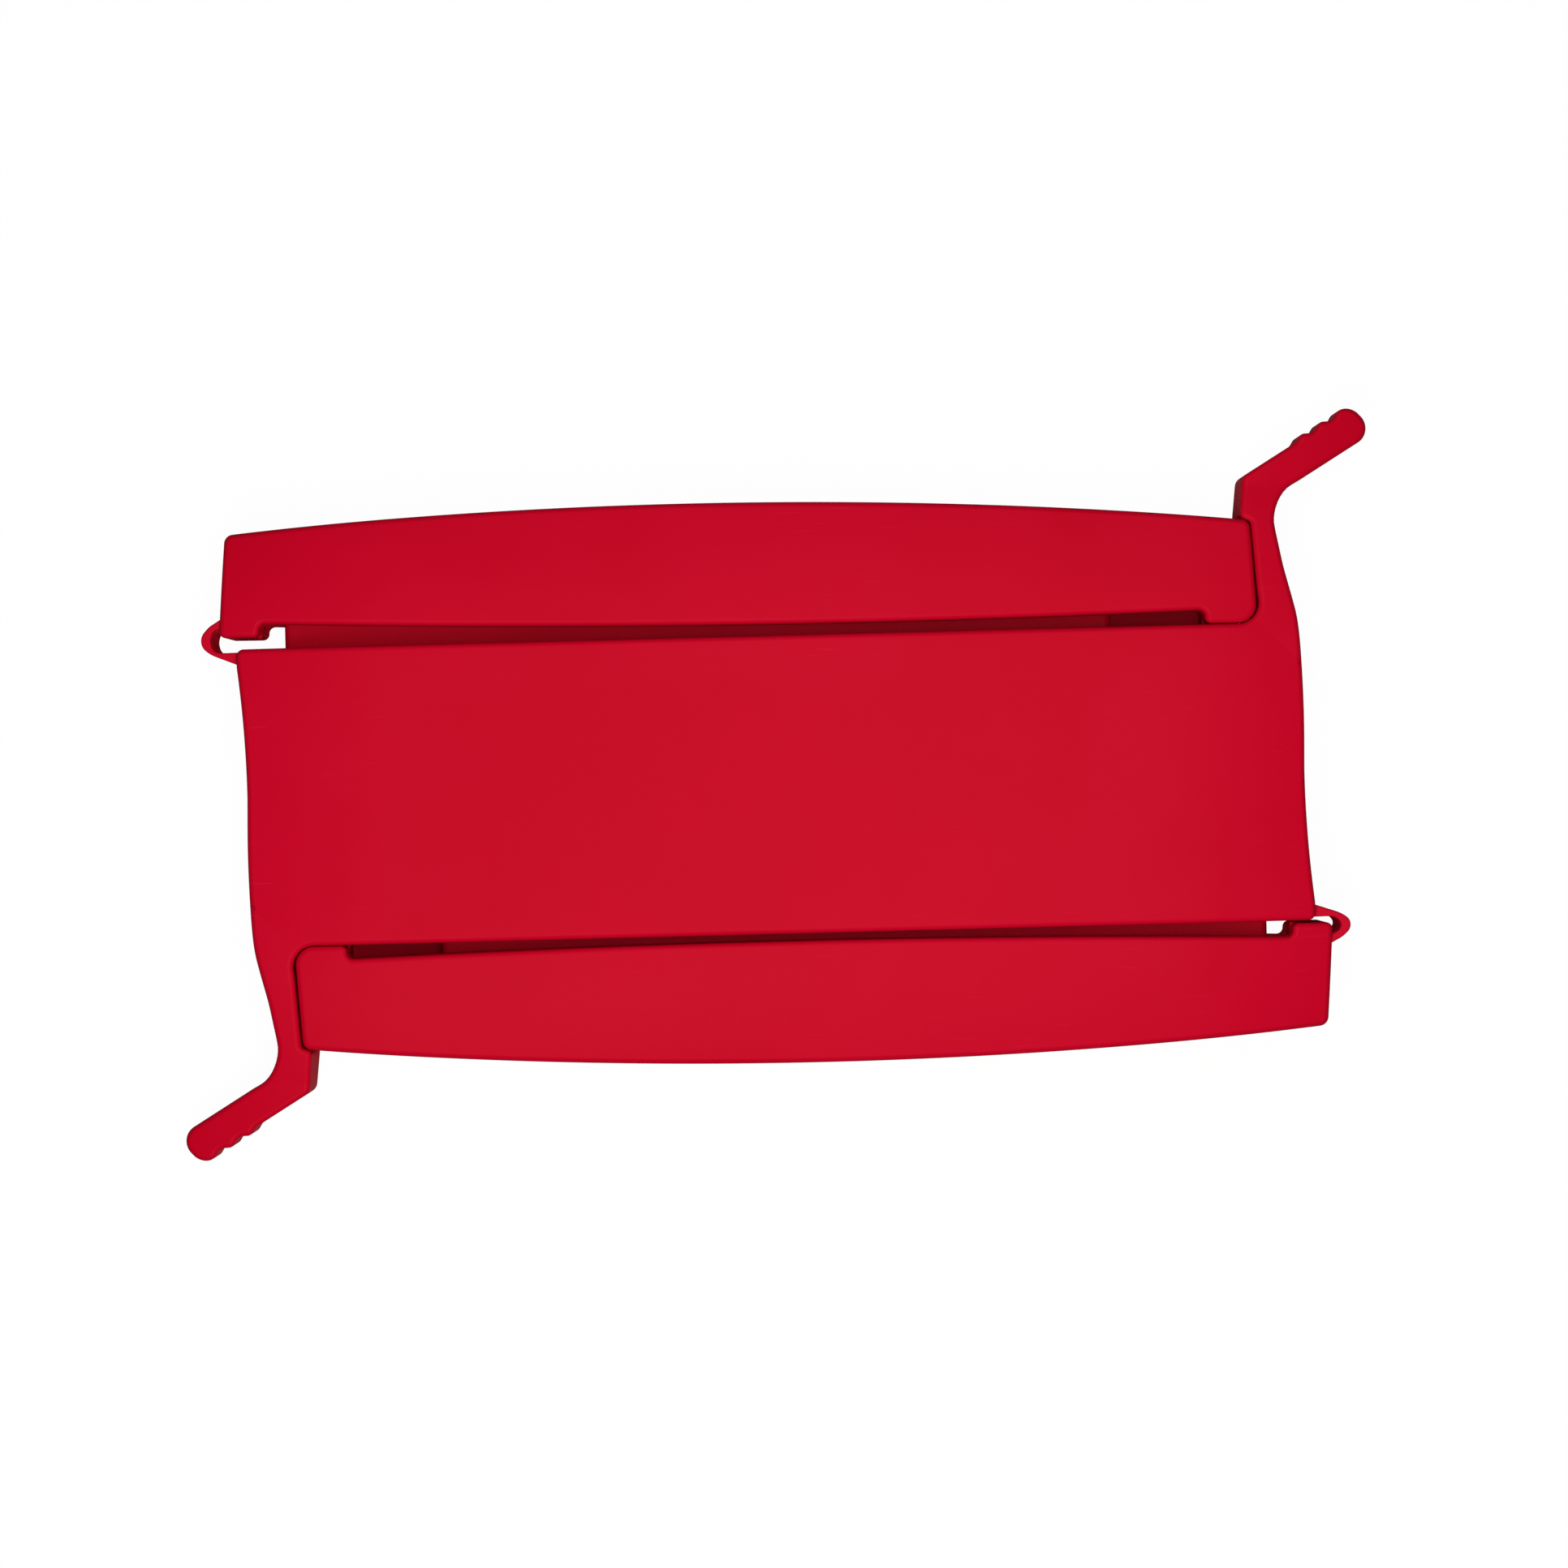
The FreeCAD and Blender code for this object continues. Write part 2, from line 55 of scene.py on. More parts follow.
MM = 0.001
Point = tuple[float, float]
Span = tuple[float, float]
Place = tuple[float, float, float]
Colour = tuple[float, float, float, float]
Height = Callable[[float, float], float]
WHITE: Colour = (1.0, 1.0, 1.0, 1.0)


class Side(Enum):
    """The two clamps, which are half a turn apart."""

    UPPER = 0.0
    LOWER = 180.0

    def node(self, piece: str) -> str:
        """The node of a piece on this side."""
        return f"{self.name.lower()}_{piece}"

    def place(self, x: float, y: float, z: float) -> Place:
        """A place of this clamp in metres, from the upper clamp's in millimetres."""
        sign = -1.0 if self is Side.LOWER else 1.0
        return (sign * MM * x, sign * MM * y, MM * z)


@dataclass(frozen=True)
class Turn:
    """A turn in the clip's plane about a point in millimetres, then the side's own turn."""

    side: Side = Side.UPPER
    degrees: float = 0.0
    about: Point = (0.0, 0.0)

    def matrix(self) -> np.ndarray:
        """Works out the turn.

        Returns:
            A 4 by 4 matrix on millimetres.
        """
        whole = np.eye(4)
        for angle, (px, py) in ((self.degrees, self.about), (self.side.value, (0.0, 0.0))):
            c, s = math.cos(math.radians(angle)), math.sin(math.radians(angle))
            step = np.eye(4)
            step[:2, :2] = [[c, -s], [s, c]]
            step[:2, 3] = [px - c * px + s * py, py - s * px - c * py]
            whole = step @ whole
        return whole


@dataclass(frozen=True)
class Crown:
    """The front face: level in the middle, falling away to the ends and over the jaws."""

    top: float = 14.0
    half_level_x: float = 48.0
    half_level_y: float = 16.0
    end_radius: float = 110.0
    edge_radius: float = 75.0
    half_span: float = 35.5

    def height(self, x: float, y: float) -> float:
        """Front face height in millimetres.

        Args:
            x: place along the jaws.
            y: place across the jaws.

        Returns:
            Height above the back faces.
        """
        over_y = min(max(abs(y) - self.half_level_y, 0.0), self.half_span - self.half_level_y)
        fall = self.edge_radius - math.sqrt(self.edge_radius**2 - over_y**2)
        over_x = max(abs(x) - self.half_level_x, 0.0)
        return self.top - self.end_radius + math.sqrt((self.end_radius - fall) ** 2 - over_x**2)


def slope_normal(height: Height, x: float, y: float) -> Vector:
    """The upward normal of a height field.

    Args:
        height: the field, in millimetres.
        x: place along X.
        y: place along Y.

    Returns:
        A unit vector.
    """
    reach = 0.05
    dx = (height(x + reach, y) - height(x - reach, y)) / (2 * reach)
    dy = (height(x, y + reach) - height(x, y - reach)) / (2 * reach)
    return Vector((-dx, -dy, 1.0)).normalized()


@dataclass
class Outline:
    """A closed run of points, anticlockwise from the front; joints butt on another piece."""

    points: list[Point]
    joints: set[int] = field(default_factory=set)

    LEAST_MITRE = 0.3
    PARALLEL = 1e-4

    def outward(self, edge: int) -> Vector:
        """The outward normal of an edge."""
        a, b = self.points[edge], self.points[(edge + 1) % len(self.points)]
        return Vector((b[1] - a[1], a[0] - b[0], 0.0)).normalized()

    def normals(self) -> list[Vector]:
        """Finds the outward normals at the points.

        Returns:
            The normals, taken from edges that are free.
        """
        found = []
        for i in range(len(self.points)):
            before = (i - 1) % len(self.points)
            free = [e for e in (before, i) if e not in self.joints] or [before, i]
            found.append(sum((self.outward(e) for e in free), Vector()).normalized())
        return found

    def inset(self, distance: float) -> list[Point]:
        """The outline drawn in on its free edges.

        Args:
            distance: how far, in millimetres.

        Returns:
            As many points as the outline has.
        """
        moved = []
        for i, (x, y) in enumerate(self.points):
            before = (i - 1) % len(self.points)
            n1, n2 = self.outward(before), self.outward(i)
            d1 = 0.0 if before in self.joints else distance
            d2 = 0.0 if i in self.joints else distance
            cross = n1.x * n2.y - n1.y * n2.x
            if d1 == d2:
                shift = (n1 + n2) * (d1 / max(1.0 + n1.dot(n2), self.LEAST_MITRE))
            elif abs(cross) > self.PARALLEL:
                across = ((d1 * n2.y - d2 * n1.y) / cross, (d2 * n1.x - d1 * n2.x) / cross)
                shift = Vector((*across, 0.0))
            else:
                shift = n1 * max(d1, d2)
            moved.append((x - shift.x, y - shift.y))
        return moved


class Pen:
    """Draws an outline corner by corner, anticlockwise, with rounded corners and butt joints."""

    LEAST_TURN = 0.02
    EDGE_SHARE = 0.49
    ARC_STEP = math.radians(9)
    SAME_PLACE = 1e-4

    def __init__(self) -> None:
        """Starts with no corners."""
        self.stops: list[tuple[float, float, float, bool]] = []

    def to(self, x: float, y: float, rounded: float = 0.0, joint: bool = False) -> "Pen":
        """Adds a corner.

        Args:
            x: place along X in millimetres.
            y: place along Y.
            rounded: radius of the corner.
            joint: whether the edge that starts here butts on another piece.

        Returns:
            This pen.
        """
        self.stops.append((x, y, rounded, joint))
        return self

    def along(self, points: Iterable[Point]) -> "Pen":
        """Adds a run of plain points.

        Args:
            points: their places.

        Returns:
            This pen.
        """
        for x, y in points:
            self.to(x, y)
        return self

    def outline(self, step: float) -> Outline:
        """The finished outline.

        Args:
            step: longest edge, in millimetres.

        Returns:
            The outline with its corners rounded and its long edges divided.
        """
        rough: list[tuple[Vector, bool]] = []
        count = len(self.stops)
        for i, (x, y, radius, joint) in enumerate(self.stops):
            here = Vector((x, y))
            back = Vector(self.stops[i - 1][:2]) - here
            ahead = Vector(self.stops[(i + 1) % count][:2]) - here
            turn = math.pi - back.angle(ahead)
            if radius <= 0.0 or turn < self.LEAST_TURN:
                rough.append((here, joint))
                continue
            most = (self.EDGE_SHARE * back.length, self.EDGE_SHARE * ahead.length)
            reach = min(radius * math.tan(turn / 2), *most)
            real = reach / math.tan(turn / 2)
            start = here + back.normalized() * reach
            halfway = (back.normalized() + ahead.normalized()).normalized()
            middle = here + halfway * (real / math.cos(turn / 2))
            spoke = start - middle
            sense = 1.0 if back.x * ahead.y - back.y * ahead.x < 0 else -1.0
            pieces = max(2, math.ceil(turn / self.ARC_STEP))
            for k in range(pieces + 1):
                a = sense * turn * k / pieces
                c, s = math.cos(a), math.sin(a)
                spot = middle + Vector((c * spoke.x - s * spoke.y, s * spoke.x + c * spoke.y))
                rough.append((spot, joint and k == pieces))
        points: list[Point] = []
        joints: set[int] = set()
        for i, (spot, joint) in enumerate(rough):
            after = rough[(i + 1) % len(rough)][0]
            if (after - spot).length < self.SAME_PLACE:
                continue
            parts = max(1, math.ceil((after - spot).length / step))
            for k in range(parts):
                if joint:
                    joints.add(len(points))
                p = spot.lerp(after, k / parts)
                points.append((p.x, p.y))
        return Outline(points, joints)


def arc_run(start: Point, end: Point, sagitta: float, parts: int) -> list[Point]:
    """Points of a shallow arc, without its ends.

    Args:
        start: first end.
        end: last end.
        sagitta: bulge to the right of the way from start to end.
        parts: number of parts.

    Returns:
        The points between the ends.
    """
    way = Vector(end) - Vector(start)
    right = Vector((way.y, -way.x)).normalized()
    run = []
    for k in range(1, parts):
        t = k / parts
        p = Vector(start).lerp(Vector(end), t) + right * (4 * sagitta * t * (1 - t))
        run.append((p.x, p.y))
    return run


def smooth_run(knots: Sequence[Point], step: float) -> list[Point]:
    """A smooth run through knots.

    Args:
        knots: places that the run passes.
        step: distance between points.

    Returns:
        Points from the first knot to the last.
    """
    pts = [Vector(k) for k in knots]
    pts = [pts[0] * 2 - pts[1], *pts, pts[-1] * 2 - pts[-2]]
    run: list[Point] = []
    for a, b, c, d in zip(pts, pts[1:], pts[2:], pts[3:]):
        parts = max(2, math.ceil((c - b).length / step))
        for k in range(parts):
            t = k / parts
            square, cube = 2 * a - 5 * b + 4 * c - d, 3 * b - a - 3 * c + d
            p = 0.5 * (2 * b + (c - a) * t + square * t**2 + cube * t**3)
            run.append((p.x, p.y))
    return [*run, (pts[-2].x, pts[-2].y)]


def inside(polygon: Sequence[Point], places: np.ndarray) -> np.ndarray:
    """Which places lie in a polygon.

    Args:
        polygon: its corners.
        places: an array of places, one to a row.

    Returns:
        An array of truth values.
    """
    result = np.zeros(len(places), bool)
    corners = np.array(polygon)
    for (x0, y0), (x1, y1) in zip(corners, np.roll(corners, -1, axis=0)):
        if y0 == y1:
            continue
        spans = (places[:, 1] < y0) != (places[:, 1] < y1)
        crossing = x0 + (places[:, 1] - y0) * (x1 - x0) / (y1 - y0)
        result ^= spans & (places[:, 0] < crossing)
    return result


def middles(points: Sequence[Vector], triangles: Sequence[Sequence[int]]) -> np.ndarray:
    """The middles of triangles, one to a row."""
    return np.array([[sum(points[k][a] for k in t) / 3 for a in (0, 1)] for t in triangles])


class Draft:
    """A mesh being drawn, in millimetres, with a true surface normal at every point."""

    SHARP = math.cos(math.radians(48))
    FRONT_STEPS = 5
    BACK_STEPS = 3
    FRONT_SPACING = 2.2
    BACK_SPACING = 6.0
    CEILING_SPACING = 5.0
    RIM_CLEARANCE = 0.45
    SHEET_WELD = 1e-7
    LEDGE_WELD = 1e-6

    def __init__(self) -> None:
        """Starts empty."""
        self.points: list[Place] = []
        self.normals: list[Vector] = []
        self.faces: list[tuple[int, ...]] = []

    def ring(
        self, plan: Sequence[Point], heights: Sequence[float], normals: Sequence[Vector]
    ) -> list[int]:
        """Adds a ring of points.

        Args:
            plan: their places from the front.
            heights: their heights.
            normals: their surface normals.

        Returns:
            Their numbers.
        """
        first = len(self.points)
        self.points += [(x, y, z) for (x, y), z in zip(plan, heights)]
        self.normals += list(normals)
        return list(range(first, len(self.points)))

    def strip(self, low: Sequence[int], high: Sequence[int], inward: bool = False) -> None:
        """Joins two rings by a wall.

        Args:
            low: the lower ring.
            high: the upper ring.
            inward: whether the wall faces inwards, as a hollow's does.
        """
        for i in range(len(low)):
            j = (i + 1) % len(low)
            quad = (low[i], low[j], high[j], high[i])
            self.faces.append(quad[::-1] if inward else quad)

    def fill(
        self, loops: Sequence[Sequence[int]], height: Height, up: bool, step: float
    ) -> None:
        """Closes the space between rings with a fine sheet.

        Args:
            loops: the outer ring, then the rings of holes.
            height: the sheet's height.
            up: whether the sheet faces up.
            step: spacing of the sheet's own points.
        """
        flip = 1.0 if up else -1.0
        rims = [[self.points[i][:2] for i in loop] for loop in loops]
        plan = [Vector(p) for rim in rims for p in rim]
        numbers = [i for loop in loops for i in loop]
        ties: list[tuple[int, int]] = []
        for loop in loops:
            first = len(ties)
            ties += [(first + k, first + (k + 1) % len(loop)) for k in range(len(loop))]
        outer = np.array(rims[0])
        xs = np.arange(outer[:, 0].min(), outer[:, 0].max(), step)
        ys = np.arange(outer[:, 1].min(), outer[:, 1].max(), step)
        grid = np.array([(x + (k % 2) * step / 2, y) for k, y in enumerate(ys) for x in xs])
        keep = inside(rims[0], grid)
        for hole in rims[1:]:
            keep &= ~inside(hole, grid)
        rim_points = np.array([p for rim in rims for p in rim])
        grid = grid[keep]
        if len(grid):
            near = np.sqrt(((grid[:, None, :] - rim_points[None]) ** 2).sum(2)).min(1)
            grid = grid[near > self.RIM_CLEARANCE * step]
        for x, y in grid:
            numbers.append(len(self.points))
            self.points.append((x, y, height(x, y)))
            self.normals.append(slope_normal(height, x, y) * flip)
            plan.append(Vector((x, y)))
        out, _, tris, origin, _, _ = delaunay_2d_cdt(plan, ties, [], 1, self.SHEET_WELD)
        centres = middles(out, tris)
        keep = np.ones(len(tris), bool)
        for hole in rims[1:]:
            keep &= ~inside(hole, centres)
        placed = {k: numbers[found[0]] for k, found in enumerate(origin) if found}
        for k in range(len(out)):
            if k not in placed:
                placed[k] = len(self.points)
                x, y = out[k]
                self.points.append((x, y, height(x, y)))
                self.normals.append(slope_normal(height, x, y) * flip)
        for tri, used in zip(tris, keep):
            if used:
                corner = tuple(placed[k] for k in tri)
                self.faces.append(corner if up else corner[::-1])

    def ledge(self, low: Outline, high: Outline, z: float) -> None:
        """Adds the level faces where the outline changes from one layer to the next.

        Args:
            low: outline below the level.
            high: outline above it.
            z: the level.
        """
        plan = [Vector(p) for p in (*low.points, *high.points)]
        first, second = len(low.points), len(high.points)
        ties = [(k, (k + 1) % first) for k in range(first)]
        ties += [(first + k, first + (k + 1) % second) for k in range(second)]
        out, _, tris, _, _, _ = delaunay_2d_cdt(plan, ties, [], 0, self.LEDGE_WELD)
        centres = middles(out, tris)
        in_low, in_high = inside(low.points, centres), inside(high.points, centres)
        for tri, below, above in zip(tris, in_low, in_high):
            if below != above:
                way = Vector((0, 0, 1.0 if below else -1.0))
                new = self.ring([tuple(out[k]) for k in tri], [z] * 3, [way] * 3)
                self.faces.append(tuple(new) if below else tuple(new[::-1]))

    def rounded_front(
        self, outline: Outline, start: list[int], height: Height, radius: float
    ) -> None:
        """Ends a wall in a rounded edge and a front face.

        Args:
            outline: the wall's outline.
            start: the ring that the wall has reached.
            height: the front face.
            radius: rounding of the edge.
        """
        sides = outline.normals()
        ring = start
        for k in range(self.FRONT_STEPS + 1):
            a = math.pi / 2 * k / self.FRONT_STEPS
            plan = outline.inset(radius * (1 - math.cos(a)))
            heights = [height(x, y) - radius * (1 - math.sin(a)) for x, y in plan]
            normals = [
                (n * math.cos(a) + slope_normal(height, x, y) * math.sin(a)).normalized()
                for n, (x, y) in zip(sides, plan)
            ]
            new = self.ring(plan, heights, normals)
            self.strip(ring, new)
            ring = new
        self.fill([ring], height, True, self.FRONT_SPACING)

    def rounded_back(
        self, outline: Outline, z: float, radius: float, holes: Sequence[list[int]] = ()
    ) -> list[int]:
        """Starts a wall with a back face and a rounded edge.

        Args:
            outline: the wall's outline.
            z: height of the back face.
            radius: rounding of the edge.
            holes: rings of the hollows that open there.

        Returns:
            The ring from which the wall goes up.
        """
        sides = outline.normals()
        down = Vector((0, 0, -1))
        ring: list[int] = []
        for k in range(self.BACK_STEPS + 1):
            a = math.pi / 2 * (1 - k / self.BACK_STEPS)
            plan = outline.inset(radius * (1 - math.cos(a)))
            normals = [(n * math.cos(a) + down * math.sin(a)).normalized() for n in sides]
            new = self.ring(plan, [z + radius * (1 - math.sin(a))] * len(plan), normals)
            if ring:
                self.strip(ring, new)
            else:
                self.fill([new, *holes], lambda x, y: z, False, self.BACK_SPACING)
            ring = new
        return ring

    def hollow(self, outline: Outline, ceiling: Height) -> list[int]:
        """Adds a hollow that is open at the back.

        Args:
            outline: its outline.
            ceiling: the underside of the skin.

        Returns:
            The ring of its mouth.
        """
        inward = [-n for n in outline.normals()]
        mouth = self.ring(outline.points, [0.0] * len(outline.points), inward)
        top = self.ring(outline.points, [ceiling(x, y) for x, y in outline.points], inward)
        self.strip(mouth, top, inward=True)
        self.fill([top], ceiling, False, self.CEILING_SPACING)
        return mouth

    def finished(self, name: str, finish: "Finish", turn: Turn) -> bpy.types.Object:
        """Makes the object.

        Args:
            name: its name.
            finish: its finish.
            turn: where it goes.

        Returns:
            The object, at the origin with its place in its mesh.
        """
        matrix = turn.matrix()
        co = (np.c_[np.array(self.points), np.ones(len(self.points))] @ matrix.T)[:, :3] * MM
        mesh = bpy.data.meshes.new(name)
        mesh.from_pydata(co.tolist(), [], self.faces)
        mesh.polygons.foreach_set("use_smooth", [True] * len(mesh.polygons))
        true = np.array([tuple(n) for n in self.normals]) @ matrix[:3, :3].T
        loops = []
        for face in mesh.polygons:
            flat = np.array(face.normal)
            for v in face.vertices:
                loops.append(true[v] if true[v] @ flat > self.SHARP else flat)
        mesh.normals_split_custom_set([tuple(n) for n in loops])
        mesh.materials.append(finish.material())
        piece = bpy.data.objects.new(name, mesh)
        bpy.context.collection.objects.link(piece)
        return piece


Number = Union["Signal", float]


class Signal:
    """A value in a node tree, on which plain arithmetic adds Math nodes."""

    def __init__(self, wiring: "Wiring", socket: bpy.types.NodeSocket) -> None:
        """Wraps a socket."""
        self.wiring = wiring
        self.socket = socket

    def _math(self, operation: str, other: Number) -> "Signal":
        """One Math node on this value and another."""
        return self.wiring.add("ShaderNodeMath", {"operation": operation}, {0: self, 1: other})

    def __add__(self, other: Number) -> "Signal":
        """Sum."""
        return self._math("ADD", other)

    def __mul__(self, other: Number) -> "Signal":
        """Product."""
        return self._math("MULTIPLY", other)

    __radd__ = __add__
    __rmul__ = __mul__

    def eased(self, low: float, high: float) -> "Signal":
        """Goes smoothly from 0 to 1.

        Args:
            low: the value at which it is 0.
            high: the value at which it is 1.

        Returns:
            The eased value.
        """
        settings = {"interpolation_type": "SMOOTHSTEP"}
        inputs = {"Value": self, "From Min": low, "From Max": high}
        return self.wiring.add("ShaderNodeMapRange", settings, inputs)


class Wiring:
    """Adds nodes to a material or a world."""

    def __init__(self, owner: Union[bpy.types.Material, bpy.types.World]) -> None:
        """Takes the tree of a material or a world."""
        self.tree = owner.node_tree

    def add(self, kind: str, settings: dict, inputs: dict, output: Union[int, str] = 0) -> Signal:
        """Adds a node.

        Args:
            kind: the node's type.
            settings: properties, set before the sockets.
            inputs: values or links by socket name or number.
            output: the socket to return.

        Returns:
            The chosen output.
        """
        node = self.tree.nodes.new(kind)
        for key, value in settings.items():
            setattr(node, key, value)
        self.feed(node, inputs)
        return Signal(self, node.outputs[output])

    def feed(self, node: bpy.types.Node, inputs: dict) -> None:
        """Sets or links a node's sockets.

        Args:
            node: the node.
            inputs: values or links by socket name or number.
        """
        for key, value in inputs.items():
            if isinstance(value, Signal):
                self.tree.links.new(value.socket, node.inputs[key])
            else:
                node.inputs[key].default_value = value

    def noise(self, place: Signal, scale: float, detail: float) -> Signal:
        """Soft noise at a place."""
        inputs = {"Vector": place, "Scale": scale, "Detail": detail}
        return self.add("ShaderNodeTexNoise", {}, inputs)

    def blend(self, share: Number, first: object, second: object) -> Signal:
        """Mixes two colours, at the numbers of the node's colour sockets."""
        return self.add("ShaderNodeMix", {"data_type": "RGBA"}, {0: share, 6: first, 7: second}, 2)


@dataclass(frozen=True)
class Finish:
    """Red polypropylene as it leaves the mould: satin, faintly clouded, with a fine grain."""

    name: str
    colour: Colour
    cloud: Colour
    scuff: Colour
    roughness: float
    grain: float

    CLOUDS = {"scale": 38.0, "detail": 3.0}
    FLOW = {"scale": 90.0, "detail": 2.0}
    DUST = {"scale": 900.0, "detail": 1.0}
    SCRATCHES = {"scale": 150.0, "detail": 2.0}
    GRAIN = {"scale": 2600.0, "detail": 2.0}
    FLOW_LIE = {"Scale": (0.25, 3.0, 1.0)}
    SCRATCH_LIE = {"Rotation": (0.0, 0.0, 0.6), "Scale": (1.0, 24.0, 1.0)}
    CLOUD_RANGE = (0.3, 0.7)
    SCRATCH_RANGE = (0.66, 0.78)
    SCUFF_RANGE = (0.45, 0.7)
    SCUFF_SHARE = 0.35
    PALE_CLOUD, PALE_FLOW = 0.8, 0.2
    ROUGH_CLOUD, ROUGH_SCUFF, ROUGH_DUST = 0.06, 0.12, 0.04
    RELIEF_GRAIN, RELIEF_FLOW = 0.7, 0.3
    GRAIN_DEPTH = 0.00006
    IOR = 1.49
    SPECULAR = 0.025

    def material(self) -> bpy.types.Material:
        """The material, made once.

        Returns:
            A material with clouding, flow lines, fine scuffs and a moulded grain.
        """
        ready = bpy.data.materials.get(self.name)
        if ready:
            return ready
        material = bpy.data.materials.new(self.name)
        material.use_nodes = True
        wiring = Wiring(material)
        place = wiring.add("ShaderNodeTexCoord", {}, {}, "Object")
        clouds = wiring.noise(place, **self.CLOUDS)
        drawn = wiring.add("ShaderNodeMapping", {}, {"Vector": place, **self.FLOW_LIE})
        flow = wiring.noise(drawn, **self.FLOW)
        dust = wiring.noise(place, **self.DUST)
        turned = wiring.add("ShaderNodeMapping", {}, {"Vector": place, **self.SCRATCH_LIE})
        scratch = wiring.noise(turned, **self.SCRATCHES)
        scuffed = scratch.eased(*self.SCRATCH_RANGE) * clouds.eased(*self.SCUFF_RANGE)
        pale = clouds.eased(*self.CLOUD_RANGE) * self.PALE_CLOUD + flow * self.PALE_FLOW
        worn = wiring.blend(
            scuffed * self.SCUFF_SHARE, wiring.blend(pale, self.colour, self.cloud), self.scuff
        )
        rough = self.roughness + clouds * self.ROUGH_CLOUD
        rough = rough + scuffed * self.ROUGH_SCUFF + dust * self.ROUGH_DUST
        grain = wiring.noise(place, **self.GRAIN)
        relief = grain * self.RELIEF_GRAIN + flow * self.RELIEF_FLOW
        bumps = {"Strength": self.grain, "Distance": self.GRAIN_DEPTH, "Height": relief}
        bump = wiring.add("ShaderNodeBump", {}, bumps)
        shader = material.node_tree.nodes["Principled BSDF"]
        wiring.feed(shader, {"Base Color": worn, "Roughness": rough, "Normal": bump})
        wiring.feed(shader, {"IOR": self.IOR, "Specular IOR Level": self.SPECULAR})
        return material


SATIN = Finish(
    "red_moulding",
    colour=(0.53, 0.0006, 0.0150, 1.0),
    cloud=(0.56, 0.0014, 0.0195, 1.0),
    scuff=(0.62, 0.02, 0.045, 1.0),
    roughness=0.40,
    grain=0.10,
)
FLEXED = Finish(
    "red_flexed",
    colour=(0.53, 0.0006, 0.0150, 1.0),
    cloud=(0.57, 0.0024, 0.0225, 1.0),
    scuff=(0.66, 0.05, 0.075, 1.0),
    roughness=0.42,
    grain=0.08,
)


@dataclass(frozen=True)
class Row:
    """Equal bars at equal distances, made by a node tree, in millimetres."""

    count: int
    first: Place
    pitch: Place
    size: Place

    INPUTS = (
        ("Count", "NodeSocketInt"),
        ("First", "NodeSocketVector"),
        ("Pitch", "NodeSocketVector"),
        ("Size", "NodeSocketVector"),
        ("Finish", "NodeSocketMaterial"),
    )
    NODES = (
        ("given", "NodeGroupInput"),
        ("line", "GeometryNodeMeshLine"),
        ("bar", "GeometryNodeMeshCube"),
        ("placed", "GeometryNodeInstanceOnPoints"),
        ("real", "GeometryNodeRealizeInstances"),
        ("dressed", "GeometryNodeSetMaterial"),
        ("result", "NodeGroupOutput"),
    )
    LINKS = (
        ("given", "Count", "line", "Count"),
        ("given", "First", "line", "Start Location"),
        ("given", "Pitch", "line", "Offset"),
        ("given", "Size", "bar", "Size"),
        ("line", "Mesh", "placed", "Points"),
        ("bar", "Mesh", "placed", "Instance"),
        ("placed", "Instances", "real", "Geometry"),
        ("real", "Geometry", "dressed", "Geometry"),
        ("given", "Finish", "dressed", "Material"),
        ("dressed", "Geometry", "result", "Geometry"),
    )

    def tree(self, name: str) -> bpy.types.NodeTree:
        """The node tree of the row.

        Args:
            name: its name.

        Returns:
            A geometry tree with named sizes.
        """
        tree = bpy.data.node_groups.new(name, "GeometryNodeTree")
        face = tree.interface
        for label, kind in self.INPUTS:
            face.new_socket(name=label, in_out="INPUT", socket_type=kind)
        face.new_socket(name="Geometry", in_out="OUTPUT", socket_type="NodeSocketGeometry")
        nodes = {key: tree.nodes.new(kind) for key, kind in self.NODES}
        for start, leaving, end, entering in self.LINKS:
            tree.links.new(nodes[start].outputs[leaving], nodes[end].inputs[entering])
        return tree

    def made(self, name: str, finish: Finish, turn: Turn) -> bpy.types.Object:
        """Makes the row a plain mesh.

        Args:
            name: the piece's name.
            finish: its finish.
            turn: where it goes.

        Returns:
            The object, with no modifier left on it.
        """
        tree = self.tree(f"{name}_row")
        carrier = bpy.data.objects.new(f"{name}_carrier", bpy.data.meshes.new(f"{name}_seed"))
        bpy.context.collection.objects.link(carrier)
        modifier = carrier.modifiers.new("row", "NODES")
        modifier.node_group = tree
        values = {
            "Count": self.count,
            "First": [v * MM for v in self.first],
            "Pitch": [v * MM for v in self.pitch],
            "Size": [v * MM for v in self.size],
            "Finish": finish.material(),
        }
        for item in tree.interface.items_tree:
            if item.in_out == "INPUT":
                modifier[item.identifier] = values[item.name]
        evaluated = carrier.evaluated_get(bpy.context.evaluated_depsgraph_get())
        mesh = bpy.data.meshes.new_from_object(evaluated)
        bpy.data.objects.remove(carrier)
        matrix = turn.matrix()
        matrix[:3, 3] *= MM
        co = np.array([(*v.co, 1.0) for v in mesh.vertices]) @ matrix.T
        mesh.vertices.foreach_set("co", co[:, :3].ravel())
        mesh.name = name
        piece = bpy.data.objects.new(name, mesh)
        bpy.context.collection.objects.link(piece)
        return piece


def seated(piece: bpy.types.Object, body: str, *nodes: str) -> None:
    """Puts a piece on its body and logs it.

    Args:
        piece: the piece.
        body: the body that it moves with.
        nodes: the nodes that it stands for.
    """
    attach(piece, body)
    if nodes:
        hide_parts(*nodes)
    log.info("%s on %s: %d faces", piece.name, body, len(piece.data.polygons))


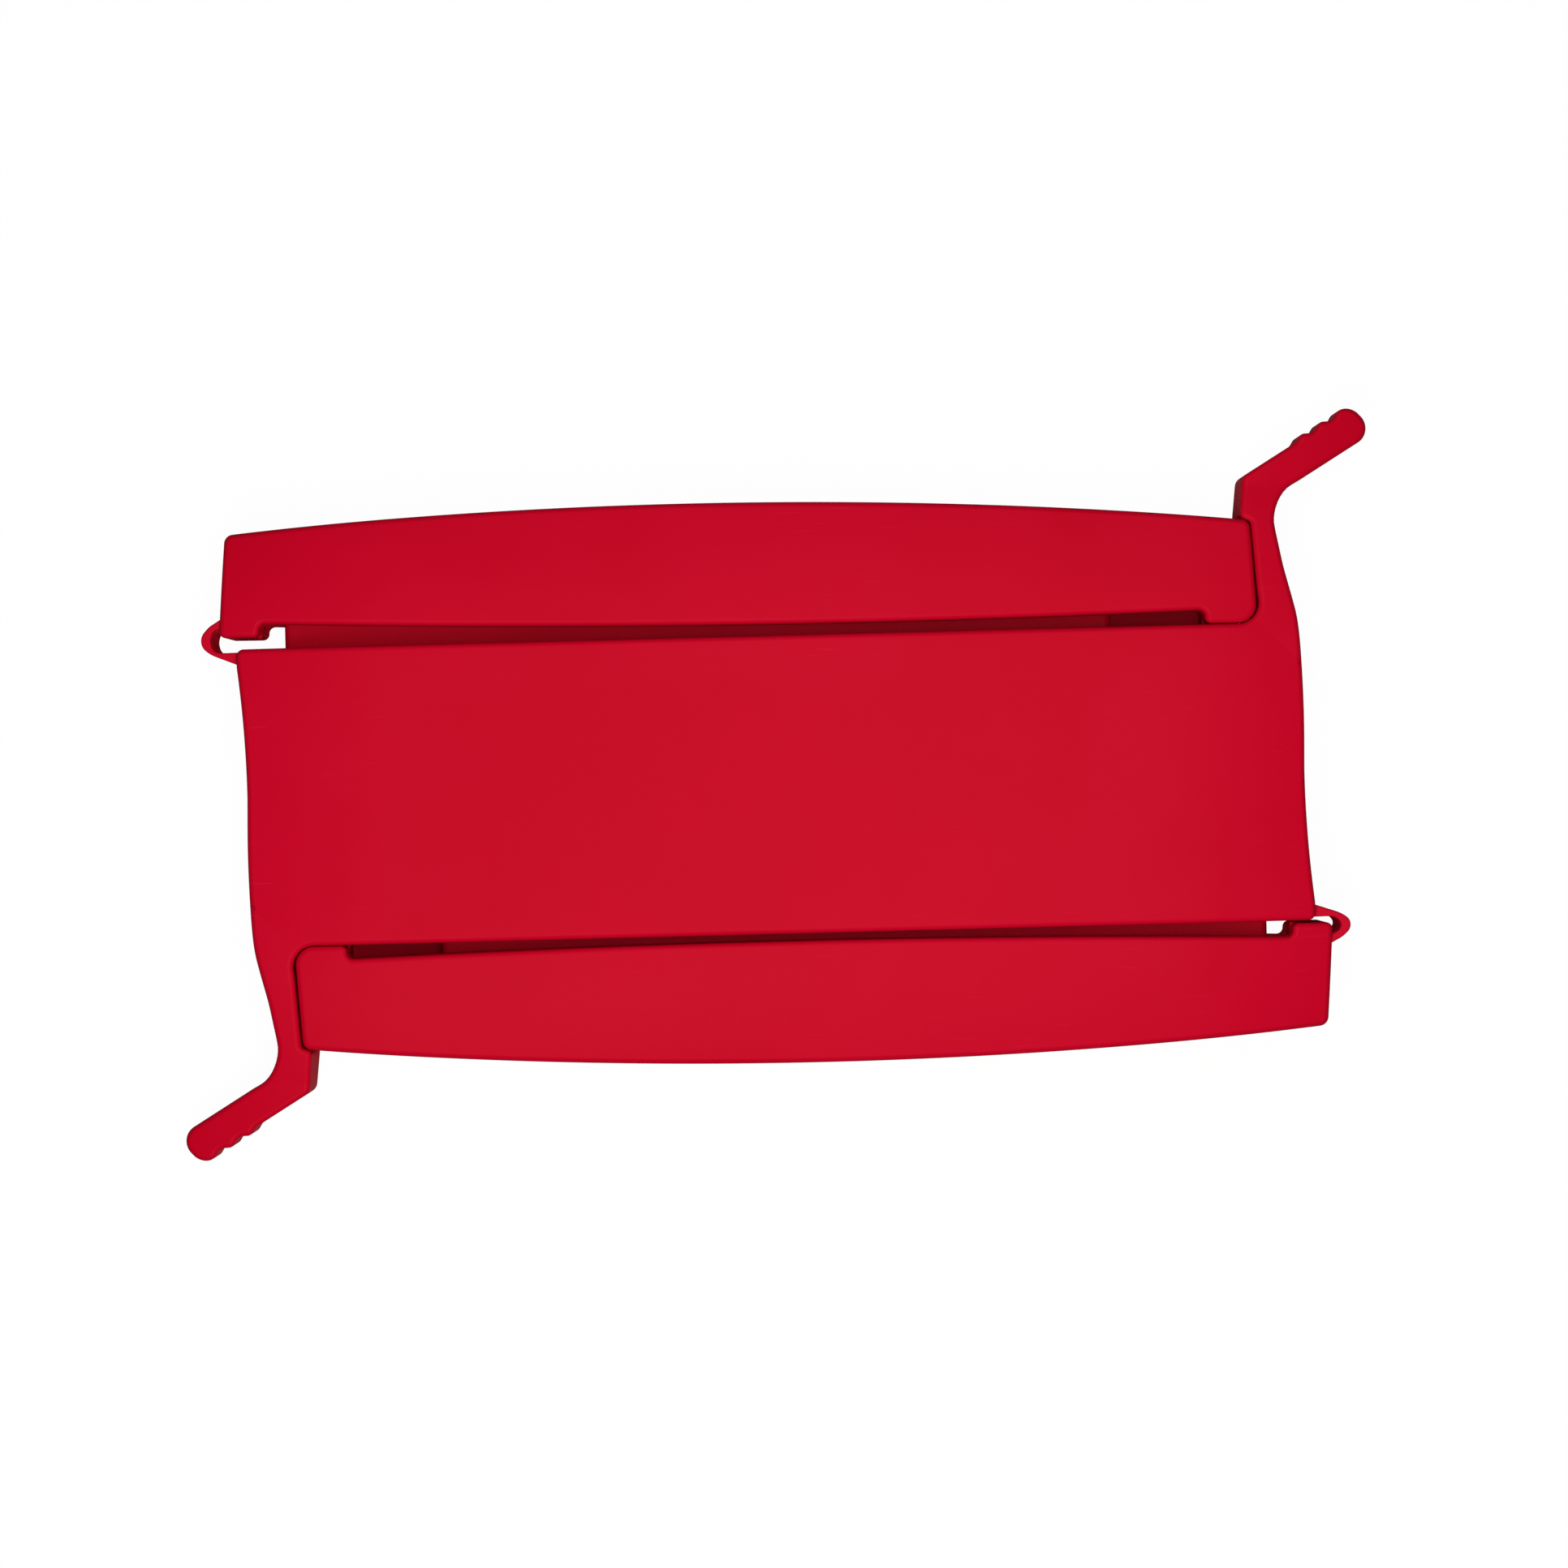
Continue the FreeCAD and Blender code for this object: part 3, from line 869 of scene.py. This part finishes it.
def bending(piece: bpy.types.Object, body: str, node: str) -> None:
    """Bakes a piece's place into its mesh, hides the node that it stands for, and logs it.

    Args:
        piece: the piece.
        body: the other body.
        node: the node that it stands for.
    """
    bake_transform(piece)
    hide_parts(node)
    log.info("%s bends between body and %s", piece.name, body)


def half_turned(points: Iterable[Point]) -> list[Point]:
    """Points turned half a turn about the clip's axis."""
    return [(-x, -y) for x, y in points]


def parted(
    run: Sequence[Point], level: Callable[[Point], float]
) -> tuple[list[Point], list[Point]]:
    """Parts a run where a level passes zero.

    Args:
        run: the points.
        level: a value that is below zero at the start and above it at the end.

    Returns:
        The points up to the parting and those after it, with the parting in both.
    """
    for i in range(1, len(run)):
        low, high = level(run[i - 1]), level(run[i])
        if low <= 0.0 < high:
            spot = Vector(run[i - 1]).lerp(Vector(run[i]), -low / (high - low))
            return [*run[:i], (spot.x, spot.y)], [(spot.x, spot.y), *run[i:]]
    raise ValueError("the run is never parted")


CROWN = Crown()


@dataclass(frozen=True)
class Moulding:
    """What the sections of the moulding share, in millimetres."""

    edge_y: float = 18.35
    soft: float = 0.7
    back_soft: float = 0.5
    skin: float = 2.4
    rim: float = 2.2
    rib: float = 1.6
    rib_lift: float = 0.15
    pockets: int = 10
    pocket_corner: float = 0.8
    pocket_spacing: float = 2.5
    bend_z: float = 6.6

    def ceiling(self, x: float, y: float) -> float:
        """The underside of the skin."""
        return CROWN.height(x, y) - self.skin

    def ribs(self, ends: Span, y: float, depth: float, rise: float) -> Row:
        """The ribs that divide a hollow into pockets.

        Args:
            ends: the hollow's two ends along X.
            y: the ribs' middle.
            depth: their length along Y.
            rise: their height.

        Returns:
            The row of ribs.
        """
        left, right = ends
        pitch = (right - left + self.rib) / self.pockets
        first = (left + pitch - self.rib / 2, y, rise / 2 + self.rib_lift)
        return Row(self.pockets - 1, first, (pitch, 0.0, 0.0), (self.rib, depth, rise))


@dataclass(frozen=True)
class Latch(Moulding):
    """The latch beside a jaw's end: a bending root, an arm with a hook, and a finger tab."""

    back: float = 1.2
    back_soft: float = 0.4
    corner_x: float = 57.3
    corner_radius: float = 2.72
    corner_parts: int = 8
    root_angle: float = 45.0
    root_spacing: float = 0.8
    bend_x: float = 62.2
    bend_line: float = 78.62
    bend_reach: float = 2.13
    foot: Point = (59.82, 22.95)
    step: Point = (59.37, 30.95)
    step_corner: float = 0.5
    hook: Point = (58.04, 31.55)
    hook_corner: float = 0.8
    elbow: Point = (58.6, 36.6)
    elbow_corner: float = 1.3
    spacing: float = 0.9
    tab_angle: float = 31.2
    tab_offset: float = 5.7
    tab_half: float = 2.1
    tab_length: float = 9.0
    tip_step: float = 10.0
    tip_parts: int = 10
    ridges: int = 3
    ridge_half: float = 1.25
    ridge_rise: float = 0.45
    ridge_pitch: float = 2.8
    ridge_step: float = 0.19
    ridge_parts: int = 56
    side_spacing: float = 0.8
    side: tuple[Point, ...] = (
        (65.15, 0.0),
        (65.27, 6.0),
        (65.22, 11.0),
        (65.02, 16.0),
        (64.72, 19.0),
        (64.25, 21.2),
        (63.75, 23.2),
        (63.2, 25.5),
        (62.75, 28.0),
        (62.38, 30.2),
        (62.33, 31.3),
        (62.6, 32.6),
        (63.25, 34.0),
        (64.2, 35.1),
    )

    def hollow_corner(self, start: float, end: float) -> list[Point]:
        """The hollow corner round the jaw.

        Args:
            start: first angle from straight down, in degrees.
            end: last angle.

        Returns:
            Its points.
        """
        x, y, r = self.corner_x, self.edge_y + self.corner_radius, self.corner_radius
        parts = self.corner_parts
        angles = [math.radians(start + (end - start) * k / parts) for k in range(parts + 1)]
        return [(x + r * math.sin(a), y - r * math.cos(a)) for a in angles]

    def tab_point(self, along: float, across: float) -> Point:
        """A place on the tab.

        Args:
            along: distance from its foot.
            across: distance from its middle towards the jaw.

        Returns:
            The place in the clip's plane.
        """
        c, s = math.cos(math.radians(self.tab_angle)), math.sin(math.radians(self.tab_angle))
        x = self.elbow[0] + self.tab_offset * c + self.tab_half * s
        y = self.elbow[1] + self.tab_offset * s - self.tab_half * c
        return (x + along * c - across * s, y + along * s + across * c)

    def ridged(self, along: float) -> float:
        """How far the tab's gripping face stands out.

        Args:
            along: distance from the tab's foot.

        Returns:
            Distance from the tab's middle.
        """
        past = max(along - self.tab_length, 0.0)
        level = math.sqrt(self.tab_half**2 - past**2)
        if past > 0.0:
            return level * (1.0 + self.ridge_rise / self.tab_half)
        for k in range(self.ridges):
            off = along - self.tab_length + self.ridge_pitch * k
            if abs(off) < self.ridge_half:
                level += self.ridge_rise * math.cos(math.pi * off / (2 * self.ridge_half)) ** 2
        return level

    def side_runs(self) -> tuple[list[Point], list[Point], list[Point]]:
        """Divides the outer side.

        Returns:
            The runs on the plate, on the root and on the arm.
        """
        knots = [*self.side, self.tab_point(0.0, -self.tab_half)]
        corner = self.hollow_corner(self.root_angle, self.root_angle)[0]
        plate, rest = parted(
            smooth_run(knots, self.side_spacing), lambda p: p[0] + p[1] - corner[0] - corner[1]
        )
        root, arm = parted(rest, lambda p: p[1] - self.foot[1])
        return plate, root, arm

    def slab(self, name: str, outline: Outline, finish: Finish, side: Side) -> bpy.types.Object:
        """Makes a piece of the latch, from its back to the front face.

        Args:
            name: its name.
            outline: its outline.
            finish: its finish.
            side: which clamp it belongs to.

        Returns:
            The object.
        """
        draft = Draft()
        wall = draft.rounded_back(outline, self.back, self.back_soft)
        draft.rounded_front(outline, wall, CROWN.height, self.soft)
        return draft.finished(side.node(name), finish, Turn(side))

    def build_root(self, side: Side) -> None:
        """Makes the root, which bends as the latch is pushed outwards.

        Args:
            side: which clamp it belongs to.
        """
        _, run, _ = self.side_runs()
        corner = self.hollow_corner(self.root_angle, 90.0)
        pen = Pen().to(*corner[0], joint=True).along(run[:-1]).to(*run[-1], joint=True)
        outline = pen.to(*self.foot).along(reversed(corner[1:])).outline(self.root_spacing)
        piece = self.slab("bending_root", outline, FLEXED, side)
        x, y = self.bend_x, self.bend_line - self.bend_x
        start = side.place(x, y, self.bend_z)
        end = side.place(x + self.bend_reach, y + self.bend_reach, self.bend_z)
        bending(piece, side.node("latch"), side.node("latch_root"))

    def build_arm(self, side: Side) -> None:
        """Makes the arm with its hook over the jaw's corner.

        Args:
            side: which clamp it belongs to.
        """
        _, _, run = self.side_runs()
        pen = Pen().to(*self.foot, joint=True).along(run[:-1]).to(*run[-1], joint=True)
        pen.to(*self.tab_point(0.0, self.tab_half)).to(*self.elbow, rounded=self.elbow_corner)
        pen.to(*self.hook, rounded=self.hook_corner).to(*self.step, rounded=self.step_corner)
        piece = self.slab("hooked_arm", pen.outline(self.spacing), SATIN, side)
        seated(piece, side.node("latch"), side.node("latch_arm"))

    def build_tab(self, side: Side) -> None:
        """Makes the finger tab with its grip ridges.

        Args:
            side: which clamp it belongs to.
        """
        half, length = self.tab_half, self.tab_length
        pen = Pen().along(self.tab_point(k, -half) for k in range(round(length)))
        tip = [math.radians(self.tip_step * k - 90.0) for k in range(self.tip_parts + 1)]
        pen.along(self.tab_point(length + half * math.cos(a), half * math.sin(a)) for a in tip)
        for k in range(self.ridge_parts):
            along = length + half * math.cos(tip[-1]) - self.ridge_step * (k + 1)
            pen.to(*self.tab_point(along, self.ridged(along)))
        outline = pen.to(*self.tab_point(0.0, half), joint=True).outline(self.spacing)
        piece = self.slab("ridged_tab", outline, SATIN, side)
        seated(piece, side.node("latch"), side.node("finger_tab"))

    def build(self, side: Side) -> None:
        """Makes the three pieces of one latch.

        Args:
            side: which clamp it belongs to.
        """
        self.build_root(side)
        self.build_arm(side)
        self.build_tab(side)


@dataclass(frozen=True)
class Plate(Moulding):
    """The plate between the clamping edges, hollow behind, with ribs across it."""

    hinge_x: float = 66.1
    hinge_corner: float = 0.9
    waist_x: float = 65.15
    sweep_radius: float = 140.0
    sweep_top: float = 16.1
    sweep_parts: int = 12
    spacing: float = 1.6
    hollow_x: float = 64.85
    hollow_cut: float = 3.2
    hollow_rounding: float = 1.5
    overlap: float = 0.8
    sunk: float = 0.3
    spine: float = 3.0
    spine_lift: float = 0.12

    def outline(self, latch: Latch) -> Outline:
        """The plate's outline, which runs on into the latches.

        Args:
            latch: the latch, whose side the plate's ends follow.

        Returns:
            The outline, with its joints at the latches.
        """
        run, _, _ = latch.side_runs()
        sweep = [self.sweep_top * (1 - k / self.sweep_parts) for k in range(self.sweep_parts)]
        hinge_end = [(-self.waist_x - y * y / (2 * self.sweep_radius), y) for y in sweep]
        pen = Pen()
        for place in (list, half_turned):
            pen.along(place(latch.hollow_corner(latch.root_angle, 0.0)))
            pen.to(*place([(-self.hinge_x, self.edge_y)])[0], rounded=self.hinge_corner)
            pen.along(place(hinge_end))
            latch_end = place(half_turned(run))
            pen.along(latch_end[:-1]).to(*latch_end[-1], joint=True)
        return pen.outline(self.spacing)

    def build(self, latch: Latch) -> None:
        """Makes the plate and its ribs.

        Args:
            latch: the latch that grows out of its corners.
        """
        outline = self.outline(latch)
        wide, tall = self.hollow_x - self.rim, self.edge_y - self.rim
        cut, corner = self.hollow_cut, self.pocket_corner
        pen = Pen()
        for s in (1, -1):
            pen.to(s * wide, s * (tall - cut), corner).to(s * (wide - cut), s * tall, corner)
            pen.to(-s * wide, s * tall, self.hollow_rounding)
        draft = Draft()
        mouth = draft.hollow(pen.outline(self.pocket_spacing), self.ceiling)
        wall = draft.rounded_back(outline, 0.0, self.back_soft, [mouth])
        draft.rounded_front(outline, wall, CROWN.height, self.soft)
        seated(draft.finished("crowned_plate", SATIN, Turn()), "body", "body_plate")
        rise = CROWN.top - self.skin + self.sunk
        ribs = self.ribs((-wide, wide), 0.0, 2 * tall + self.overlap, rise)
        seated(ribs.made("plate_ribs", SATIN, Turn()), "body")
        middle = (0.0, 0.0, rise / 2 + self.spine_lift)
        spine = Row(1, middle, (1.0, 0.0, 0.0), (2 * wide + self.overlap, self.spine, rise))
        seated(spine.made("plate_spine", SATIN, Turn()), "body")


@dataclass(frozen=True)
class Clamp(Moulding):
    """A tongue on the plate's edge and the jaw that closes over it on a springy strap."""

    stand_off: float = 0.0
    seat_y: float = 18.43
    hinge_x: float = -68.22
    latch_x: float = 59.78
    latch_corner: float = 2.3
    corner_y: float = 31.16
    back_corner: float = 1.2
    lean: float = 0.7
    back_bow: float = 3.09
    back_parts: int = 64
    hinge_pad: float = 5.0
    pad_corner: float = 0.8
    latch_pad_x: float = 53.28
    back_pad_x: float = 41.38
    relief: float = 1.67
    relief_corner: float = 1.0
    lip_bow: float = 0.95
    lip_parts: int = 60
    jaw_spacing: float = 2.0
    groove: Span = (4.4, 8.8)
    groove_y: float = 23.45
    rib_rise: float = 10.8
    rib_overlap: float = 0.6
    tongue_x: Span = (-60.5, 42.0)
    tongue_y: float = 22.55
    tongue_z: Span = (5.1, 8.1)
    tongue_root: float = 0.9
    tongue_corner: float = 0.9
    tongue_soft: float = 0.8
    tongue_spacing: float = 2.5
    strap_top: float = 22.1
    strap_foot: float = 16.45
    strap_inset: float = 0.35
    strap_thickness: float = 1.2
    strap_z: Span = (2.1, 11.1)
    strap_soft: float = 0.25
    strap_step: float = 0.3
    strap_spacing: float = 0.5
    strap_bend_x: float = -69.0
    strap_bend_past: float = 0.2
    strap_outer: tuple[Span, ...] = (
        (1.0, -68.12),
        (0.93, -68.75),
        (0.84, -69.5),
        (0.68, -70.3),
        (0.52, -70.5),
        (0.37, -70.2),
        (0.23, -69.2),
        (0.11, -67.6),
        (0.0, -66.05),
    )
    strap_inner_foot: tuple[Span, ...] = ((-66.05, 0.0), (-68.2, 0.02), (-69.0, 0.4))
    strap_inner_x: float = -69.32
    strap_inner_top: tuple[Span, ...] = ((-69.05, 0.4), (-68.5, 0.03), (-68.12, 0.0))

    def jaw_outline(self, lip_end: float, depth: float, bow: float, soft: float) -> Outline:
        """The outline of one layer of the jaw.

        Args:
            lip_end: where the cut-back stretch ends, beside the latch.
            depth: how far it is cut back.
            bow: how far its middle bows back out.
            soft: rounding of its corners.

        Returns:
            The outline.
        """
        left, top = self.hinge_x + self.hinge_pad, self.seat_y + depth
        nose = self.pad_corner if soft else 0.0
        pen = Pen().to(self.hinge_x, self.seat_y, self.pad_corner)
        pen.to(left, self.seat_y, nose).to(left, top, soft)
        if bow:
            pen.along(arc_run((left, top), (lip_end, top), bow, self.lip_parts))
        pen.to(lip_end, top, soft).to(lip_end, self.seat_y, nose)
        if lip_end < self.latch_pad_x:
            pen.to(self.latch_pad_x, self.seat_y)
        pen.to(self.latch_x, self.seat_y, self.latch_corner)
        right_top = (self.latch_x - self.lean, self.corner_y)
        left_top = (self.hinge_x + self.lean, self.corner_y)
        pen.to(*right_top, self.back_corner)
        pen.along(arc_run(right_top, left_top, self.back_bow, self.back_parts))
        return pen.to(*left_top, self.back_corner).outline(self.jaw_spacing)

    def build_jaw(self, side: Side) -> None:
        """Makes a jaw with its ribs.

        Args:
            side: which clamp it belongs to.
        """
        turn = Turn(side, -self.stand_off, (self.latch_x, self.seat_y))
        lips = (self.relief, self.lip_bow, self.relief_corner)
        front = self.jaw_outline(self.latch_pad_x, *lips)
        grooved = self.jaw_outline(self.latch_pad_x, self.groove_y - self.seat_y, 0.0, 0.0)
        behind = self.jaw_outline(self.back_pad_x, *lips)
        left = self.hinge_x + self.lean + self.rim
        right = self.latch_x - self.lean - self.rim
        bottom, top = self.groove_y + self.rim, self.corner_y - self.rim
        pen = Pen()
        for x, y in ((left, bottom), (right, bottom), (right, top), (left, top)):
            pen.to(x, y, self.pocket_corner)
        draft = Draft()
        mouth = draft.hollow(pen.outline(self.pocket_spacing), self.ceiling)
        ring = draft.rounded_back(behind, 0.0, self.back_soft, [mouth])
        for outline, level, following in zip((behind, grooved), self.groove, (grooved, front)):
            wall = draft.ring(outline.points, [level] * len(outline.points), outline.normals())
            draft.strip(ring, wall)
            draft.ledge(outline, following, level)
            levels = [level] * len(following.points)
            ring = draft.ring(following.points, levels, following.normals())
        draft.rounded_front(front, ring, CROWN.height, self.soft)
        piece = draft.finished(side.node("bowed_jaw"), SATIN, turn)
        seated(piece, side.node("clamp"), side.node("jaw"))
        depth = top - bottom + self.rib_overlap
        ribs = self.ribs((left, right), (bottom + top) / 2, depth, self.rib_rise)
        seated(ribs.made(side.node("jaw_ribs"), SATIN, turn), side.node("clamp"))

    def build_tongue(self, side: Side) -> None:
        """Makes the rounded tongue on the plate's edge.

        Args:
            side: which clamp it belongs to.
        """
        (x0, x1), (z0, z1) = self.tongue_x, self.tongue_z
        foot, top, corner = self.edge_y - self.tongue_root, self.tongue_y, self.tongue_corner
        pen = Pen().to(x0, foot).to(x1, foot).to(x1, top, corner).to(x0, top, corner)
        outline = pen.outline(self.tongue_spacing)
        draft = Draft()
        wall = draft.rounded_back(outline, z0, self.tongue_soft)
        draft.rounded_front(outline, wall, lambda x, y: z1, self.tongue_soft)
        piece = draft.finished(side.node("clamping_tongue"), SATIN, Turn(side))
        seated(piece, "body", side.node("tongue"))

    def build_strap(self, side: Side) -> None:
        """Makes the strap, which bends as the jaw opens.

        Args:
            side: which clamp it belongs to.
        """
        foot, top = self.strap_foot, self.strap_top
        low, high = self.edge_y - self.strap_inset, top - self.strap_thickness
        outer = [(x, foot + share * (top - foot)) for share, x in self.strap_outer]
        inner = [(x, low + up) for x, up in self.strap_inner_foot]
        inner.append((self.strap_inner_x, (low + high) / 2))
        inner += [(x, high - down) for x, down in self.strap_inner_top]
        pen = Pen()
        for knots in (outer, inner):
            run = smooth_run(knots, self.strap_step)
            pen.along(run[:-1]).to(*run[-1], joint=True)
        outline = pen.outline(self.strap_spacing)
        draft = Draft()
        back, front = self.strap_z
        wall = draft.rounded_back(outline, back, self.strap_soft)
        draft.rounded_front(outline, wall, lambda x, y: front, self.strap_soft)
        piece = draft.finished(side.node("springy_strap"), FLEXED, Turn(side))
        start = side.place(self.strap_bend_x, low - self.strap_bend_past, self.bend_z)
        end = side.place(self.strap_bend_x, high + self.strap_bend_past, self.bend_z)
        bending(piece, side.node("clamp"), side.node("hinge_strap"))

    def build(self, side: Side) -> None:
        """Makes everything of one clamp.

        Args:
            side: which clamp.
        """
        self.build_tongue(side)
        self.build_jaw(side)
        self.build_strap(side)


@dataclass(frozen=True)
class Softbox:
    """A square soft light that faces the clip, in metres and watts."""

    name: str
    place: Place
    size: float
    watts: float
    glossy: bool = True

    def hang(self) -> None:
        """Hangs the light in its place."""
        data = bpy.data.lights.new(self.name, "AREA")
        data.shape = "SQUARE"
        data.size = self.size
        data.energy = self.watts
        lamp = bpy.data.objects.new(self.name, data)
        lamp.location = self.place
        lamp.rotation_mode = "QUATERNION"
        lamp.rotation_quaternion = Vector(self.place).to_track_quat("Z", "Y")
        lamp.visible_camera = False
        lamp.visible_glossy = self.glossy
        bpy.context.collection.objects.link(lamp)


@dataclass(frozen=True)
class Studio:
    """A pale floor, soft light from above and beneath, and a camera square over the clip."""

    distance: float = 0.56
    frame_width: float = 0.1932
    frame_z: float = 0.012
    roll: float = -1.47
    centre: Point = (1.0, 0.06)
    floor_half: float = 3.0
    floor_z: float = -0.0001
    floor_colour: Colour = (0.3, 0.3, 0.3, 1.0)
    floor_roughness: float = 0.9
    glow: float = 1.08
    glow_share: float = 0.9
    ambient: float = 0.03
    softboxes: tuple[Softbox, ...] = (
        Softbox("key_softbox", (-0.038, -0.141, 0.329), 0.16, 0.7),
        Softbox("fill_softbox", (0.03, 0.11, 0.256), 0.16, 0.22),
        Softbox("top_softbox", (0.025, -0.012, 0.36), 0.12, 0.36),
        Softbox("under_softbox", (0.02, -0.05, -0.36), 0.2, 0.9, glossy=False),
    )

    def floor(self) -> None:
        """Lays a pale floor that shows white, takes the shadow and is clear from beneath."""
        mesh = bpy.data.meshes.new("floor")
        w, z = self.floor_half, self.floor_z
        mesh.from_pydata([(-w, -w, z), (w, -w, z), (w, w, z), (-w, w, z)], [], [(0, 1, 2, 3)])
        floor = bpy.data.objects.new("floor", mesh)
        bpy.context.collection.objects.link(floor)
        material = bpy.data.materials.new("pale_floor")
        material.cycles.emission_sampling = "NONE"
        material.use_nodes = True
        wiring = Wiring(material)
        nodes = material.node_tree.nodes
        shader = nodes["Principled BSDF"]
        wiring.feed(shader, {"Base Color": self.floor_colour, "Roughness": self.floor_roughness})
        wiring.feed(shader, {"Specular IOR Level": 0.0})
        matte = Signal(wiring, shader.outputs[0])
        glow = wiring.add("ShaderNodeEmission", {}, {"Color": WHITE, "Strength": self.glow})
        clear = wiring.add("ShaderNodeBsdfTransparent", {}, {})
        seen = wiring.add("ShaderNodeLightPath", {}, {}, "Is Camera Ray")
        shade = wiring.add("ShaderNodeLightPath", {}, {}, "Is Shadow Ray")
        beneath = wiring.add("ShaderNodeNewGeometry", {}, {}, "Backfacing")
        shown = {0: seen * self.glow_share, 1: matte, 2: glow}
        pale = wiring.add("ShaderNodeMixShader", {}, shown)
        passed = {0: seen * beneath + shade, 1: pale, 2: clear}
        mixed = wiring.add("ShaderNodeMixShader", {}, passed)
        wiring.feed(nodes["Material Output"], {"Surface": mixed})
        mesh.materials.append(material)

    def backdrop(self) -> None:
        """Sets a world that is white to the camera and dim to the clip."""
        world = bpy.data.worlds.new("studio")
        world.use_nodes = True
        wiring = Wiring(world)
        seen = wiring.add("ShaderNodeLightPath", {}, {}, "Is Camera Ray")
        strength = seen * (1.0 - self.ambient) + self.ambient
        background = world.node_tree.nodes["Background"]
        wiring.feed(background, {"Color": WHITE, "Strength": strength})
        bpy.context.scene.world = world

    def camera(self) -> None:
        """Sets the camera, with the photograph's frame and roll."""
        data = bpy.data.cameras.new("camera")
        reach = self.distance - self.frame_z
        data.lens = data.sensor_width * reach / self.frame_width
        camera = bpy.data.objects.new("camera", data)
        camera.location = (self.centre[0] * MM, self.centre[1] * MM, self.distance)
        camera.rotation_euler = (0.0, 0.0, math.radians(self.roll))
        bpy.context.collection.objects.link(camera)
        bpy.context.scene.camera = camera

    def build(self) -> None:
        """Sets floor, world, lamps and camera."""
        self.floor()
        self.backdrop()
        for softbox in self.softboxes:
            softbox.hang()
        self.camera()
        bpy.context.scene.view_settings.view_transform = "Standard"


def main() -> None:
    """Builds the clip on its frame and the studio round it."""
    logging.basicConfig(level=logging.INFO, format="%(name)s: %(message)s")
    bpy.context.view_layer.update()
    latch = Latch()
    Plate().build(latch)
    Clamp(stand_off=0.62, strap_top=22.1).build(Side.UPPER)
    Clamp(stand_off=0.12, strap_top=21.25).build(Side.LOWER)
    for side in Side:
        latch.build(side)
    Studio().build()


if __name__ == "__main__":
    main()
